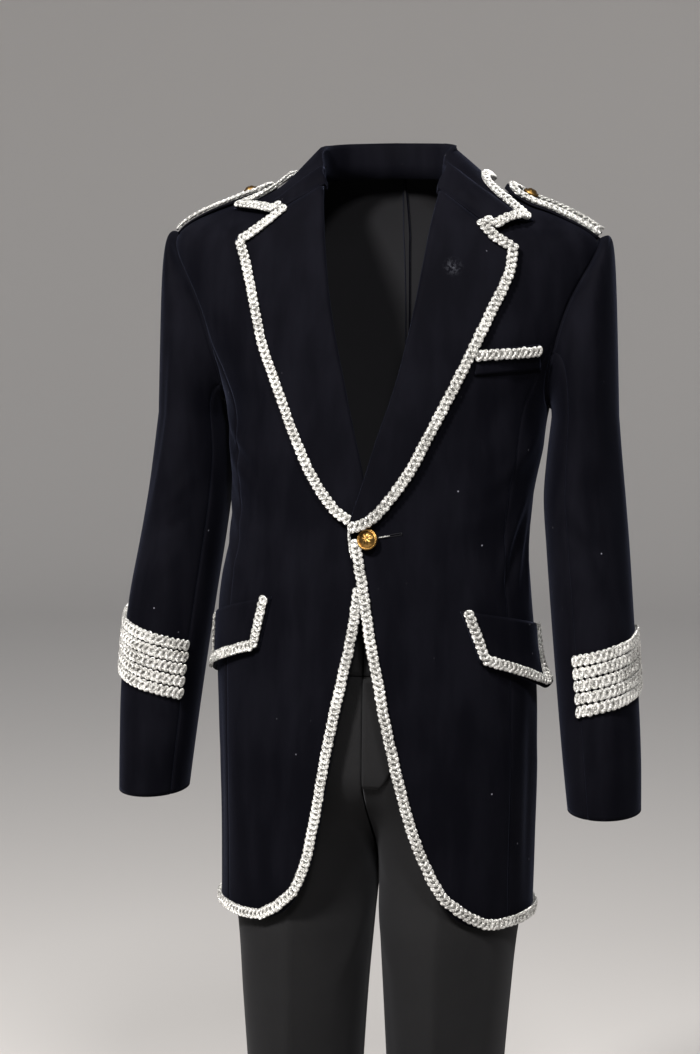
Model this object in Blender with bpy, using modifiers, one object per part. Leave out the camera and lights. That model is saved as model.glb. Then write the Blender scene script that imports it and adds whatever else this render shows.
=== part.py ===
"""A dress suit held in its worn, hollow form: a velvet tail-less coat edged with looped silver
braid, with one brass button, shoulder straps and cuff rows, and plain wool trousers.

Metres, +Z up, +X the wearer's left, -Y the front. The origin is the middle of the neck, level
with the shoulder tips. Every piece of cloth is an open grid of outer points that a Solidify
modifier gives its wall. A grid is read from a surface, a function of two numbers, and what lies
on a piece is read from the same surface, moved out.
"""

import bisect
import math

import bmesh
import bpy
from mathutils import Vector

# Cloth and trimming
VELVET_WALL = 0.0020
WOOL_WALL = 0.0016
BRAID_WALL = 0.0016
BRAID_WIDTH = 0.0105
MITRE_LIMIT = 0.6
SEAM_GAP = 0.0006
LAY_GAP = 0.0008
LAPEL_LAY_GAP = 0.0019
COLLAR_STAND_OFF = 0.0016
COLLAR_BRAID_GAP = 0.0025
CUFF_BRAID_GAP = 0.0011
SETTLE_SOFTNESS = 0.006
GORGE_GAP = 0.0023
HALF_SEAM_ANGLE = 0.26

# The coat, as heights above the origin
HEM_Z = -0.676
SHOULDER_Z = 0.004
ARMPIT_Z = -0.165
ARMHOLE_HALF_ANGLE = 28.0
SIDE_SEAM_FRONT = 62.0
SIDE_SEAM_BACK = 118.0
LAP_LIFT = 0.0068
ROLL_RADIUS = 0.0030
ROLL_LIFT = 0.0022
LAPEL_TURN = 0.0024
FALL_BULGE = 0.004
STAND_THICKNESS = 0.0058
STAND_HEIGHT = 0.030
STAND_END_HEIGHT = 0.006

# The sleeves
CAP_Z = -0.175
CUFF_Z = -0.567
CAP_SHARE = 0.28
HEAD_RISE = 0.007
HEAD_FULLNESS = 1.4
FRONT_SLEEVE_SEAM = {1: 109.0, -1: 140.0}
HIND_SLEEVE_SEAM = 238.0
CUFF_ROWS = 5
CUFF_ROW_PITCH = 0.0125
CUFF_ROW_LOW_Z = {1: -0.467, -1: -0.4665}
CUFF_ROW_PEAK = -12.0
CUFF_ROW_RISE_PER_DEGREE = 0.00026

# Pockets, straps and buttons
FLAP_THETA = (37.0, 86.0)
FLAP_HEIGHTS = {1: (-0.356, -0.368, -0.404, -0.433), -1: (-0.343, -0.374, -0.394, -0.430)}
FLAP_SLANT = 5.0
FLAP_FLARE = 0.007
WELT_X = (0.1045, 0.160)
WELT_TOP_Z = (-0.1025, -0.0975)
WELT_DEPTH = 0.024
STRAP_X = (0.205, 0.118)
STRAP_HALF_WIDTH = 0.0210
STRAP_Y = 0.011
STRAP_DROOP = 0.003
STRAP_END_RISE = 0.003
FRONT_BUTTON = (0.008, -0.2865)
FRONT_BUTTON_RADIUS = 0.0105
STRAP_BUTTON_RADIUS = 0.0080

# The trousers
WAIST_Z = -0.383
BAND_HEIGHT = 0.040
CROTCH_Z = -0.645
FORK_Z = -0.520
CREASE_DEPTH = 0.0045
CREASE_ANGLE = 9.0
FLY_WIDTH = 0.034
FLY_ROUND_Z = -0.490
FLY_ROUND_HEIGHT = 0.050

# Outer surface of the coat: height, half width, front y, back y, y of the widest place
COAT_RINGS = (
    (-0.680, 0.1650, -0.159, 0.070, -0.047),
    (-0.600, 0.1650, -0.158, 0.071, -0.046),
    (-0.500, 0.1660, -0.155, 0.071, -0.045),
    (-0.420, 0.1640, -0.150, 0.068, -0.043),
    (-0.350, 0.1580, -0.144, 0.064, -0.040),
    (-0.300, 0.1540, -0.138, 0.066, -0.035),
    (-0.255, 0.1560, -0.133, 0.077, -0.028),
    (-0.215, 0.1600, -0.127, 0.089, -0.020),
    (-0.165, 0.1660, -0.119, 0.101, -0.010),
    (-0.130, 0.1810, -0.113, 0.106, -0.006),
    (-0.100, 0.1970, -0.108, 0.108, -0.003),
    (-0.060, 0.2090, -0.098, 0.108, 0.000),
    (-0.020, 0.2150, -0.087, 0.105, 0.003),
    (0.005, 0.2080, -0.079, 0.102, 0.005),
    (0.025, 0.1780, -0.070, 0.098, 0.007),
    (0.046, 0.1390, -0.058, 0.092, 0.010),
    (0.066, 0.1000, -0.045, 0.083, 0.012),
    (0.086, 0.0600, -0.030, 0.070, 0.014),
)

# Edge of each front, from hem to neck: height, wearer's left x, wearer's right x.
# Both are counted towards the wearer's own side, so less than 0 is past the middle.
FRONT_EDGES = (
    (-0.676, 0.128, 0.118),
    (-0.670, 0.110, 0.094),
    (-0.660, 0.095, 0.076),
    (-0.640, 0.079, 0.058),
    (-0.610, 0.063, 0.045),
    (-0.565, 0.046, 0.035),
    (-0.515, 0.033, 0.027),
    (-0.460, 0.0205, 0.0190),
    (-0.420, 0.0130, 0.0125),
    (-0.380, 0.0055, 0.0055),
    (-0.340, -0.0020, 0.0005),
    (-0.305, -0.0100, -0.0060),
    (-0.280, -0.0130, -0.0090),
    (-0.262, -0.0090, -0.0090),
    (-0.223, 0.0030, 0.0010),
    (-0.180, 0.0142, 0.0120),
    (-0.140, 0.0247, 0.0225),
    (-0.100, 0.0345, 0.0320),
    (-0.060, 0.0435, 0.0410),
    (-0.020, 0.0505, 0.0485),
    (0.020, 0.0560, 0.0545),
    (0.056, 0.0615, 0.0610),
    (0.080, 0.0630, 0.0630),
)

# Lapels, from the gorge down: roll x, roll height, outer x, outer height
LEFT_LAPEL = (
    (0.0595, 0.047, 0.139, -0.007),
    (0.0550, 0.010, 0.131, -0.036),
    (0.0490, -0.030, 0.119, -0.068),
    (0.0415, -0.070, 0.099, -0.106),
    (0.0320, -0.110, 0.079, -0.146),
    (0.0220, -0.150, 0.058, -0.188),
    (0.0110, -0.190, 0.040, -0.226),
    (0.0000, -0.228, 0.022, -0.256),
    (-0.0085, -0.262, 0.001, -0.274),
)
RIGHT_LAPEL = (
    (0.0600, 0.052, 0.147, 0.004),
    (0.0550, 0.015, 0.132, -0.032),
    (0.0490, -0.025, 0.122, -0.068),
    (0.0420, -0.062, 0.108, -0.104),
    (0.0330, -0.100, 0.091, -0.148),
    (0.0225, -0.140, 0.071, -0.192),
    (0.0120, -0.180, 0.050, -0.231),
    (0.0020, -0.218, 0.034, -0.253),
    (-0.0050, -0.250, 0.016, -0.268),
)

# Collar from the middle of the back to the gorge: the outer edge's angle and height on the left
# and on the right, then the fold's x, y and height
COLLAR = (
    (180.0, 0.058, 180.0, 0.058, 0.0000, 0.0730, 0.1000),
    (160.0, 0.058, 160.0, 0.058, 0.0270, 0.0700, 0.0995),
    (138.0, 0.062, 138.0, 0.061, 0.0500, 0.0560, 0.0985),
    (115.0, 0.067, 115.0, 0.0665, 0.0640, 0.0360, 0.0965),
    (92.0, 0.0725, 92.0, 0.0720, 0.0690, 0.0140, 0.0935),
    (74.0, 0.065, 75.0, 0.0625, 0.0675, -0.0080, 0.0840),
    (64.0, 0.048, 66.0, 0.0480, 0.0640, -0.0240, 0.0700),
    (60.0, 0.0255, 63.5, 0.0325, 0.0605, -0.0370, 0.0560),
)
NOTCH_SHARE = 0.49

# Sleeve below the cap: height, inner x, outer x, middle y, half depth
SLEEVE_RINGS = (
    (-0.567, 0.2055, 0.2700, -0.068, 0.0490),
    (-0.510, 0.1985, 0.2695, -0.062, 0.0520),
    (-0.450, 0.1910, 0.2670, -0.052, 0.0550),
    (-0.368, 0.1800, 0.2600, -0.036, 0.0590),
    (-0.305, 0.1715, 0.2510, -0.022, 0.0620),
    (-0.255, 0.1655, 0.2435, -0.012, 0.0640),
    (-0.215, 0.1640, 0.2385, -0.006, 0.0650),
    (-0.175, 0.1680, 0.2345, -0.002, 0.0660),
)

# Trousers above the fork: height, half width, front y, back y, y of the widest place
HIP_RINGS = (
    (-0.660, 0.1600, -0.134, 0.050, -0.045),
    (-0.600, 0.1620, -0.137, 0.056, -0.045),
    (-0.540, 0.1632, -0.138, 0.059, -0.044),
    (-0.480, 0.1600, -0.136, 0.058, -0.042),
    (-0.430, 0.1520, -0.132, 0.054, -0.040),
    (-0.383, 0.1420, -0.127, 0.050, -0.038),
)

# One leg: height, inner x, outer x, middle y, half depth
LEG_RINGS = (
    (-1.455, 0.0230, 0.1210, -0.058, 0.0680),
    (-1.300, 0.0230, 0.1215, -0.060, 0.0680),
    (-1.100, 0.0220, 0.1230, -0.063, 0.0700),
    (-0.960, 0.0190, 0.1265, -0.066, 0.0730),
    (-0.860, 0.0150, 0.1310, -0.066, 0.0760),
    (-0.765, 0.0095, 0.1380, -0.062, 0.0790),
    (-0.690, 0.0040, 0.1450, -0.054, 0.0820),
    (-0.645, 0.0012, 0.1550, -0.046, 0.0830),
    (-0.500, 0.0010, 0.1550, -0.046, 0.0860),
)

# Rows of points down each kind of piece, as heights
FRONT_ROWS = (
    -0.676, -0.670, -0.660, -0.640, -0.610, -0.565, -0.515, -0.460, -0.420, -0.380, -0.340, -0.305,
    -0.280, -0.262, -0.223, -0.200, -0.180, -0.160, -0.140, -0.120, -0.100, -0.080, -0.055, -0.030,
    -0.010, 0.004, 0.020, 0.038, 0.056, 0.070, 0.080,
)
BACK_ROWS = (
    -0.676, -0.600, -0.500, -0.420, -0.350, -0.300, -0.255, -0.215, -0.165, -0.125, -0.080, -0.055,
    -0.030, -0.010, 0.004, 0.025, 0.046, 0.064, 0.080,
)
TROUSER_ROWS = (
    -0.424, -0.460, -0.500, -0.540, -0.575, -0.605, -0.628, -0.645, -0.690, -0.765, -0.860, -0.970,
    -1.200, -1.455,
)
FRONT_COLUMNS = 10
BACK_COLUMNS = 7
SIDE_COLUMNS = 8
SIDE_ROWS = 9
LAPEL_COLUMNS = 8
FALL_COLUMNS = 8

# Rows of points along half the collar, as shares of its length, closer where it bends
COLLAR_ROWS = (0.0, 0.11, 0.22, 0.33, 0.44, 0.54, 0.63, 0.71, 0.78, 0.84, 0.89, 0.93, 0.965, 1.0)


def smooth(rows, column, at):
    """A column of a table at any height, on a curve through its rows."""
    heights = [row[0] for row in rows]
    low = min(max(bisect.bisect_right(heights, at) - 1, 0), len(rows) - 2)
    width = heights[low + 1] - heights[low]
    part = min(max((at - heights[low]) / width, 0.0), 1.0)

    def slope(index):
        before = max(index - 1, 0)
        after = min(index + 1, len(rows) - 1)
        return (rows[after][column] - rows[before][column]) / (heights[after] - heights[before])

    start = (2 * part**3 - 3 * part**2 + 1) * rows[low][column]
    start_slope = (part**3 - 2 * part**2 + part) * width * slope(low)
    end = (3 * part**2 - 2 * part**3) * rows[low + 1][column]
    end_slope = (part**3 - part**2) * width * slope(low + 1)
    return start + start_slope + end + end_slope


def ramp(value):
    """0 below 0, 1 above 1, and a soft step between."""
    value = min(max(value, 0.0), 1.0)
    return value * value * (3 - 2 * value)


def mix(first, second, part):
    return first + (second - first) * part


class Surface:
    """A piece's outer surface: point(u, v) gives a place on it, and core(p) what it goes round."""

    DEGREES_STEP = 0.3
    SHARE_STEP = 0.002

    def __init__(self, point, core, u_step=SHARE_STEP, v_step=SHARE_STEP):
        self.point = point
        self.core = core
        self.u_step = u_step
        self.v_step = v_step

    def tangents(self, u, v):
        across = (self.point(u + self.u_step, v) - self.point(u - self.u_step, v)) / (2 * self.u_step)
        along = (self.point(u, v + self.v_step) - self.point(u, v - self.v_step)) / (2 * self.v_step)
        return across, along

    def normal(self, u, v):
        across, along = self.tangents(u, v)
        normal = across.cross(along).normalized()
        place = self.point(u, v)
        return normal if normal.dot(place - self.core(place)) > 0 else -normal

    def at(self, u, v, lift=0.0):
        """The point at (u, v), moved out by lift."""
        place = self.point(u, v)
        return place + self.normal(u, v) * lift if lift else place

    def walk(self, u, v, step):
        """(u, v) after a short step, a vector in space, along the surface."""
        across, along = self.tangents(u, v)
        aa = across.dot(across)
        ab = across.dot(along)
        bb = along.dot(along)
        size = aa * bb - ab * ab
        ra = across.dot(step)
        rb = along.dot(step)
        return u + (bb * ra - ab * rb) / size, v + (aa * rb - ab * ra) / size


def coat_point(side, theta, z):
    """On the coat: theta in degrees from the middle of the front round to the back."""
    angle = math.radians(theta)
    half_width = smooth(COAT_RINGS, 1, z)
    side_y = smooth(COAT_RINGS, 4, z)
    depth = smooth(COAT_RINGS, 2 if math.cos(angle) > 0 else 3, z) - side_y
    x = half_width * math.sin(angle)
    place = Vector((side * x, side_y + depth * abs(math.cos(angle)), z))
    if side > 0 and math.cos(angle) > 0:
        place += Vector((x * 0.4, -1.0, 0.0)) * lap(x, z)
    return place


def lap(x, z):
    """How far the wearer's left front stands out to lie over the right one."""
    near_middle = ramp((0.080 - x) / 0.060)
    above = ramp((-0.110 - z) / 0.090)
    below = ramp((z + 0.520) / 0.140)
    return LAP_LIFT * near_middle * above * below


def coat_axis(place):
    return Vector((0.0, smooth(COAT_RINGS, 4, place.z), place.z - 0.05))


def coat(side):
    return Surface(lambda theta, z: coat_point(side, theta, z), coat_axis, Surface.DEGREES_STEP)


def theta_of(x, z):
    """The angle at which the coat's front is x from the middle."""
    share = x / smooth(COAT_RINGS, 1, z)
    return math.degrees(math.asin(min(max(share, -1.0), 1.0)))


def armhole_reach(z):
    """Half the armhole's angle at a height, 0 outside it."""
    middle = (SHOULDER_Z + ARMPIT_Z) / 2
    share = (z - middle) / ((SHOULDER_Z - ARMPIT_Z) / 2)
    return ARMHOLE_HALF_ANGLE * math.sqrt(max(1 - share * share, 0.0))


def armhole_bottom(theta):
    """The height at which the armhole's lower half crosses an angle."""
    middle = (SHOULDER_Z + ARMPIT_Z) / 2
    share = (theta - 90.0) / ARMHOLE_HALF_ANGLE
    return middle - (SHOULDER_Z - ARMPIT_Z) / 2 * math.sqrt(max(1 - share * share, 0.0))


def seam_angle(z, at_back):
    """The angle at which a front or a back ends: side seam, then armhole, then shoulder seam."""
    middle = (SHOULDER_Z + ARMPIT_Z) / 2
    reach = 90.0 - SIDE_SEAM_FRONT if z < middle else armhole_reach(z)
    return 90.0 + reach + HALF_SEAM_ANGLE if at_back else 90.0 - reach - HALF_SEAM_ANGLE


def front_edge(side, z):
    return smooth(FRONT_EDGES, 1 if side > 0 else 2, z)


def lapel_surface(side):
    """u runs from the roll line at 0 to the outer edge at 1, v from the gorge at 0 to the foot."""
    table = LEFT_LAPEL if side > 0 else RIGHT_LAPEL
    rows = [(index / (len(table) - 1), *row) for index, row in enumerate(table)]
    cloth = coat(side)

    def point(u, v):
        v = min(max(v, 0.0), 1.0)
        roll_x, roll_z, outer_x, outer_z = (smooth(rows, column, v) for column in (1, 2, 3, 4))
        x = mix(roll_x, outer_x, u)
        z = mix(roll_z, outer_z, u)
        return cloth.at(theta_of(x, z), z, LAPEL_LAY_GAP + VELVET_WALL)

    return Surface(point, coat_axis)


def settle(place, lift):
    """A place moved level outwards until it is at least lift from the coat."""
    side = 1.0 if place.x >= 0 else -1.0
    side_y = smooth(COAT_RINGS, 4, place.z)
    forward = place.y < side_y
    depth = abs(smooth(COAT_RINGS, 2 if forward else 3, place.z) - side_y)
    across = abs(place.x) / smooth(COAT_RINGS, 1, place.z)
    deep = abs(place.y - side_y) / depth
    theta = math.degrees(math.atan2(across, deep if forward else -deep))
    skin = coat(side).at(theta, place.z, lift)
    middle = Vector((0.0, side_y, place.z))
    short = (skin - middle).length - (place - middle).length
    return place.lerp(skin, ramp(0.5 + short / SETTLE_SOFTNESS))


def collar_surface(side):
    """u runs from the fold at 0 to the outer edge at 1, v from the middle of the back to the gorge."""
    rows = [(index / (len(COLLAR) - 1), *row) for index, row in enumerate(COLLAR)]
    edge = (1, 2) if side > 0 else (3, 4)
    lapel = lapel_surface(side)

    def fall(u, v):
        theta, outer_z, fold_x, fold_y, fold_z = (smooth(rows, column, v) for column in (*edge, 5, 6, 7))
        fold = Vector((side * fold_x, fold_y, fold_z))
        outer = coat(side).at(theta, outer_z, LAY_GAP + VELVET_WALL)
        bulge = 4 * u * (1 - u) * FALL_BULGE
        return fold.lerp(outer, u) + (fold - Vector((0, 0.015, 0.06))).normalized() * bulge

    def front(u):
        """The end of the fall: along the gorge to the notch, then out to the collar's point."""
        above = Vector((0, 0, GORGE_GAP))
        if u < NOTCH_SHARE:
            return lapel.at(u, 0.0) + above
        notch = lapel.at(NOTCH_SHARE, 0.0) + above
        tip = coat(side).at(rows[-1][edge[0]], rows[-1][edge[1]], LAY_GAP + VELVET_WALL)
        return notch.lerp(tip, (u - NOTCH_SHARE) / (1 - NOTCH_SHARE))

    def point(u, v):
        v = min(max(v, 0.0), 1.0)
        near_end = max((v - 0.72) / 0.28, 0.0) ** 1.5
        place = fall(u, v).lerp(front(min(max(u, 0.0), 1.0)), near_end)
        return settle(place, LAPEL_LAY_GAP + VELVET_WALL + COLLAR_STAND_OFF)

    return Surface(point, coat_axis)


def sleeve_point(side, phi, v):
    """phi in degrees from the outer side, over the front, inner side and back; v down the arm."""
    angle = math.radians(phi)

    def ring(z):
        inner, outer, middle_y, half_depth = (smooth(SLEEVE_RINGS, column, z) for column in (1, 2, 3, 4))
        x = (inner + outer) / 2 + (outer - inner) / 2 * math.cos(angle)
        return Vector((side * x, middle_y - half_depth * math.sin(angle), z))

    if v >= CAP_SHARE:
        return ring(mix(CAP_Z, CUFF_Z, (v - CAP_SHARE) / (1 - CAP_SHARE)))
    middle = (SHOULDER_Z + ARMPIT_Z) / 2
    seam_z = middle + (SHOULDER_Z - ARMPIT_Z) / 2 * math.cos(angle)
    theta = 90.0 - ARMHOLE_HALF_ANGLE * math.sin(angle)
    seam = coat_point(-1, theta, seam_z)
    seam.x = side * (-seam.x + SEAM_GAP * 2)
    lower = ring(CAP_Z)
    upper_side = max(math.cos(angle), 0.0)
    head = Vector((lower.x, lower.y, seam_z + HEAD_RISE * upper_side))
    part = max(v, 0.0) / CAP_SHARE
    pull = 2 * part * (1 - part) * (1 + HEAD_FULLNESS * upper_side**2)
    whole = (1 - part) ** 2 + pull + part**2
    return (seam * (1 - part) ** 2 + head * pull + lower * part**2) / whole


def sleeve_axis(place):
    z = min(max(place.z, CUFF_Z), CAP_Z)
    middle_x = (smooth(SLEEVE_RINGS, 1, z) + smooth(SLEEVE_RINGS, 2, z)) / 2
    return Vector((math.copysign(middle_x, place.x), smooth(SLEEVE_RINGS, 3, z), min(place.z, -0.060)))


def sleeve(side):
    return Surface(lambda phi, v: sleeve_point(side, phi, v), sleeve_axis, Surface.DEGREES_STEP)


def flap_surface(side):
    """u runs from the front edge to the back edge, v from the top at 0 to the bottom at 1."""
    cloth = coat(side)

    def point(u, v):
        theta = mix(*FLAP_THETA, u) + FLAP_SLANT * v * (1 - u)
        top_front, top_back, bottom_front, bottom_back = FLAP_HEIGHTS[side]
        top = mix(top_front, top_back, u)
        bottom = mix(bottom_front, bottom_back, u)
        stand = LAY_GAP + VELVET_WALL + FLAP_FLARE * v * v * u
        return cloth.at(theta, mix(top, bottom, v), stand)

    return Surface(point, coat_axis)


def welt_surface():
    """u runs from the inner end to the outer end, v from the top at 0 to the bottom at 1."""
    cloth = coat(1)

    def point(u, v):
        z = mix(*WELT_TOP_Z, u) - WELT_DEPTH * v
        return cloth.at(theta_of(mix(*WELT_X, u), z), z, LAY_GAP + VELVET_WALL)

    return Surface(point, coat_axis)


def shoulder_height(x, y):
    """The height of the coat above a place on the shoulder."""
    low, high = -0.02, 0.086
    for _ in range(40):
        z = (low + high) / 2
        side_y = smooth(COAT_RINGS, 4, z)
        depth = smooth(COAT_RINGS, 2 if y < side_y else 3, z) - side_y
        inside = (x / smooth(COAT_RINGS, 1, z)) ** 2 + ((y - side_y) / depth) ** 2 < 1
        low, high = (z, high) if inside else (low, z)
    return low


def strap_surface(side):
    """u runs from the sleeve at 0 to the inner end at 1, v from the front edge -1 to the back edge 1."""

    def point(u, v):
        x = mix(*STRAP_X, u)
        y = STRAP_Y + v * STRAP_HALF_WIDTH
        stiff = shoulder_height(x, STRAP_Y) - STRAP_DROOP * v * v
        z = max(shoulder_height(x, y), stiff) + LAY_GAP + VELVET_WALL + STRAP_END_RISE * u * u
        return Vector((side * x, y, z))

    return Surface(point, lambda place: Vector((place.x, place.y, place.z - 1.0)))


def leg_point(side, u, z):
    """u in degrees: -90 inseam, 0 front crease, 90 outer seam, 180 back crease, 270 inseam."""
    angle = math.radians(u)
    inner, outer, middle_y, half_depth = (smooth(LEG_RINGS, column, z) for column in (1, 2, 3, 4))
    fold = abs((u + 90.0) % 180.0 - 90.0)
    crease = CREASE_DEPTH * math.exp(-fold / CREASE_ANGLE) * ramp((-0.560 - z) / 0.12)
    x = (inner + outer) / 2 + (outer - inner) / 2 * math.sin(angle)
    y = middle_y - (half_depth + crease) * math.cos(angle)
    leg = Vector((x, y, z))
    if z > CROTCH_Z:
        hip = math.radians((u + 90.0) / 2) if u <= 90.0 else math.radians(90.0 + (u - 90.0) / 2)
        half_width = smooth(HIP_RINGS, 1, z)
        side_y = smooth(HIP_RINGS, 4, z)
        depth = smooth(HIP_RINGS, 2 if u <= 90.0 else 3, z) - side_y
        body = Vector((half_width * math.sin(hip), side_y + depth * abs(math.cos(hip)), z))
        leg = body.lerp(leg, ramp((FORK_Z - z) / (FORK_Z - CROTCH_Z)))
    leg.x = side * max(leg.x, SEAM_GAP / 2)
    return leg


def leg_axis(place):
    if place.z > FORK_Z:
        return Vector((math.copysign(0.03, place.x), -0.04, place.z))
    middle_x = (smooth(LEG_RINGS, 1, place.z) + smooth(LEG_RINGS, 2, place.z)) / 2
    return Vector((math.copysign(middle_x, place.x), -0.055, place.z))


def trousers(side):
    return Surface(lambda u, z: leg_point(side, u, z), leg_axis, Surface.DEGREES_STEP)


def finish(name, colour, metallic, roughness):
    """A sub-part's own material."""
    material = bpy.data.materials.new(name)
    material.use_nodes = True
    shader = material.node_tree.nodes["Principled BSDF"]
    shader.inputs["Base Color"].default_value = (*colour, 1.0)
    shader.inputs["Metallic"].default_value = metallic
    shader.inputs["Roughness"].default_value = roughness
    return material


def velvet(name):
    return finish(name, (0.006, 0.007, 0.013), 0.0, 0.9)


def wool(name):
    return finish(name, (0.010, 0.010, 0.011), 0.0, 0.8)


def silver(name):
    return finish(name, (0.75, 0.74, 0.68), 0.3, 0.4)


def brass(name):
    return finish(name, (0.72, 0.52, 0.22), 1.0, 0.3)


def cloth_piece(name, grid, outward, wall, material):
    """Rows of outer points as one wall. outward(p) is the point that the surface faces away from."""
    mesh = bpy.data.meshes.new(name)
    build = bmesh.new()
    rows = [[build.verts.new(place) for place in row] for row in grid]
    for lower, upper in zip(rows, rows[1:]):
        for column in range(len(lower) - 1):
            build.faces.new((lower[column], lower[column + 1], upper[column + 1], upper[column]))
    build.normal_update()
    facing = 0.0
    for face in build.faces:
        middle = face.calc_center_median()
        away = (middle - outward(middle)).normalized()
        facing += face.normal.dot(away) * face.calc_area()
    if facing < 0:
        bmesh.ops.reverse_faces(build, faces=build.faces[:])
    build.to_mesh(mesh)
    build.free()
    mesh.materials.append(material)
    mesh.shade_smooth()
    piece = bpy.data.objects.new(name, mesh)
    collection.objects.link(piece)
    shell = piece.modifiers.new("wall", "SOLIDIFY")
    shell.thickness = wall
    shell.offset = -1.0
    return piece


def spread(first, last, count):
    """count + 1 even values from first to last."""
    return [mix(first, last, index / count) for index in range(count + 1)]


def braid(name, surface, path, lift):
    """A flat strip of braid, its middle along (u, v) places of a surface."""
    places = [surface.at(u, v) for u, v in path]
    sides = ([], [])
    for index, (u, v) in enumerate(path):
        last = len(path) - 1
        inward = (places[max(index, 1)] - places[max(index, 1) - 1]).normalized()
        onward = (places[min(index, last - 1) + 1] - places[min(index, last - 1)]).normalized()
        along = (inward + onward).normalized()
        width = BRAID_WIDTH / 2 / max(onward.dot(along), MITRE_LIMIT)
        across = surface.normal(u, v).cross(along) * width
        for row, step in zip(sides, (across, -across)):
            row.append(surface.at(*surface.walk(u, v, step), lift + BRAID_WALL))
    return cloth_piece(name, sides, surface.core, BRAID_WALL, silver(name + "_finish"))


def button(name, place, normal, radius):
    """A domed, rimmed button, turned about its own axis and seated along normal."""
    profile = (
        (0.00, 0.62), (0.28, 0.60), (0.52, 0.52), (0.70, 0.40), (0.80, 0.30), (0.86, 0.32), (0.94, 0.31),
        (1.00, 0.24), (0.98, 0.14), (0.60, 0.08), (0.32, 0.06), (0.30, 0.0), (0.0, 0.0),
    )
    mesh = bpy.data.meshes.new(name)
    points = [(out * radius, 0.0, up * radius) for out, up in profile]
    mesh.from_pydata(points, [(index, index + 1) for index in range(len(points) - 1)], [])
    mesh.materials.append(brass(name + "_finish"))
    piece = bpy.data.objects.new(name, mesh)
    collection.objects.link(piece)
    turn = piece.modifiers.new("turn", "SCREW")
    turn.steps = 20
    turn.render_steps = 20
    turn.use_merge_vertices = True
    turn.merge_threshold = 0.00001
    turn.use_smooth_shade = True
    piece.location = place
    piece.rotation_mode = "QUATERNION"
    piece.rotation_quaternion = normal.to_track_quat("Z", "Y")
    return piece


def front_panel(side, word):
    """One front, from its edge or roll line to the side seam, armhole and shoulder seam."""
    surface = coat(side)
    grid = []
    for z in FRONT_ROWS:
        edge = front_edge(side, z)
        rolled = ramp((z + 0.285) / 0.020)
        start = theta_of(edge + rolled * (ROLL_RADIUS + SEAM_GAP), z)
        grid.append([surface.at(theta, z) for theta in spread(start, seam_angle(z, False), FRONT_COLUMNS)])
    cloth_piece(f"front_{word}", grid, coat_axis, VELVET_WALL, velvet(f"front_{word}_finish"))


def back_panel(side, word):
    surface = coat(side)
    grid = []
    for z in BACK_ROWS:
        columns = spread(seam_angle(z, True), 180.0 - HALF_SEAM_ANGLE, BACK_COLUMNS)
        grid.append([surface.at(theta, z) for theta in columns])
    cloth_piece(f"back_{word}", grid, coat_axis, VELVET_WALL, velvet(f"back_{word}_finish"))


def side_body(side, word):
    surface = coat(side)
    columns = spread(SIDE_SEAM_FRONT + HALF_SEAM_ANGLE, SIDE_SEAM_BACK - HALF_SEAM_ANGLE, SIDE_COLUMNS)
    grid = []
    for part in spread(0.0, 1.0, SIDE_ROWS):
        row = []
        for theta in columns:
            z = mix(HEM_Z, armhole_bottom(theta) - 2 * SEAM_GAP, part)
            row.append(surface.at(theta, z))
        grid.append(row)
    cloth_piece(f"side_{word}", grid, coat_axis, VELVET_WALL, velvet(f"side_{word}_finish"))


def lapel_piece(side, word):
    """The lapel, with its first columns turned round the front's edge at the roll line."""
    surface = lapel_surface(side)
    rows = len(LEFT_LAPEL) - 1
    grid = []
    for v in spread(0.0, 1.0, rows + 6):
        roll = surface.at(0.0, v)
        outer = surface.at(1.0, v)
        inward = (roll - outer).normalized()
        normal = surface.normal(0.0, v)
        row = [
            roll - normal * (VELVET_WALL + LAPEL_TURN),
            roll + inward * LAPEL_TURN / 4 - normal * LAPEL_TURN / 2,
        ]
        soft = ROLL_LIFT * (1 - v)
        row += [surface.at(u, v, soft * (1 - u) ** 2) for u in spread(0.03, 1.0, LAPEL_COLUMNS)]
        grid.append(row)
    cloth_piece(f"lapel_{word}", grid, coat_axis, VELVET_WALL, velvet(f"lapel_{word}_finish"))


def collar_piece():
    """Stand and fall in one strip, from one gorge round the back to the other."""
    grid = []
    lengths = [(-1, v) for v in reversed(COLLAR_ROWS)] + [(1, v) for v in COLLAR_ROWS[1:]]
    for side, v in lengths:
        surface = collar_surface(side)
        fold = surface.at(0.0, v)
        inner = Vector((0.0, 0.012, fold.z)) - fold
        inner = inner.normalized()
        down = STAND_HEIGHT * ramp((1.0 - v) / 0.5) + STAND_END_HEIGHT
        row = [
            fold + inner * STAND_THICKNESS - Vector((0, 0, down)),
            fold + inner * STAND_THICKNESS * 0.96 - Vector((0, 0, STAND_END_HEIGHT * 2 / 3)),
            fold + inner * STAND_THICKNESS / 2 + Vector((0, 0, LAY_GAP)),
        ]
        row += [surface.at(u, v) for u in spread(0.0, 1.0, FALL_COLUMNS)]
        grid.append(row)
    cloth_piece(
        "collar",
        grid,
        lambda place: Vector((place.x * 0.9, 0.012 + (place.y - 0.012) * 0.9, place.z - 0.01)),
        VELVET_WALL,
        velvet("collar_finish"),
    )


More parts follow.
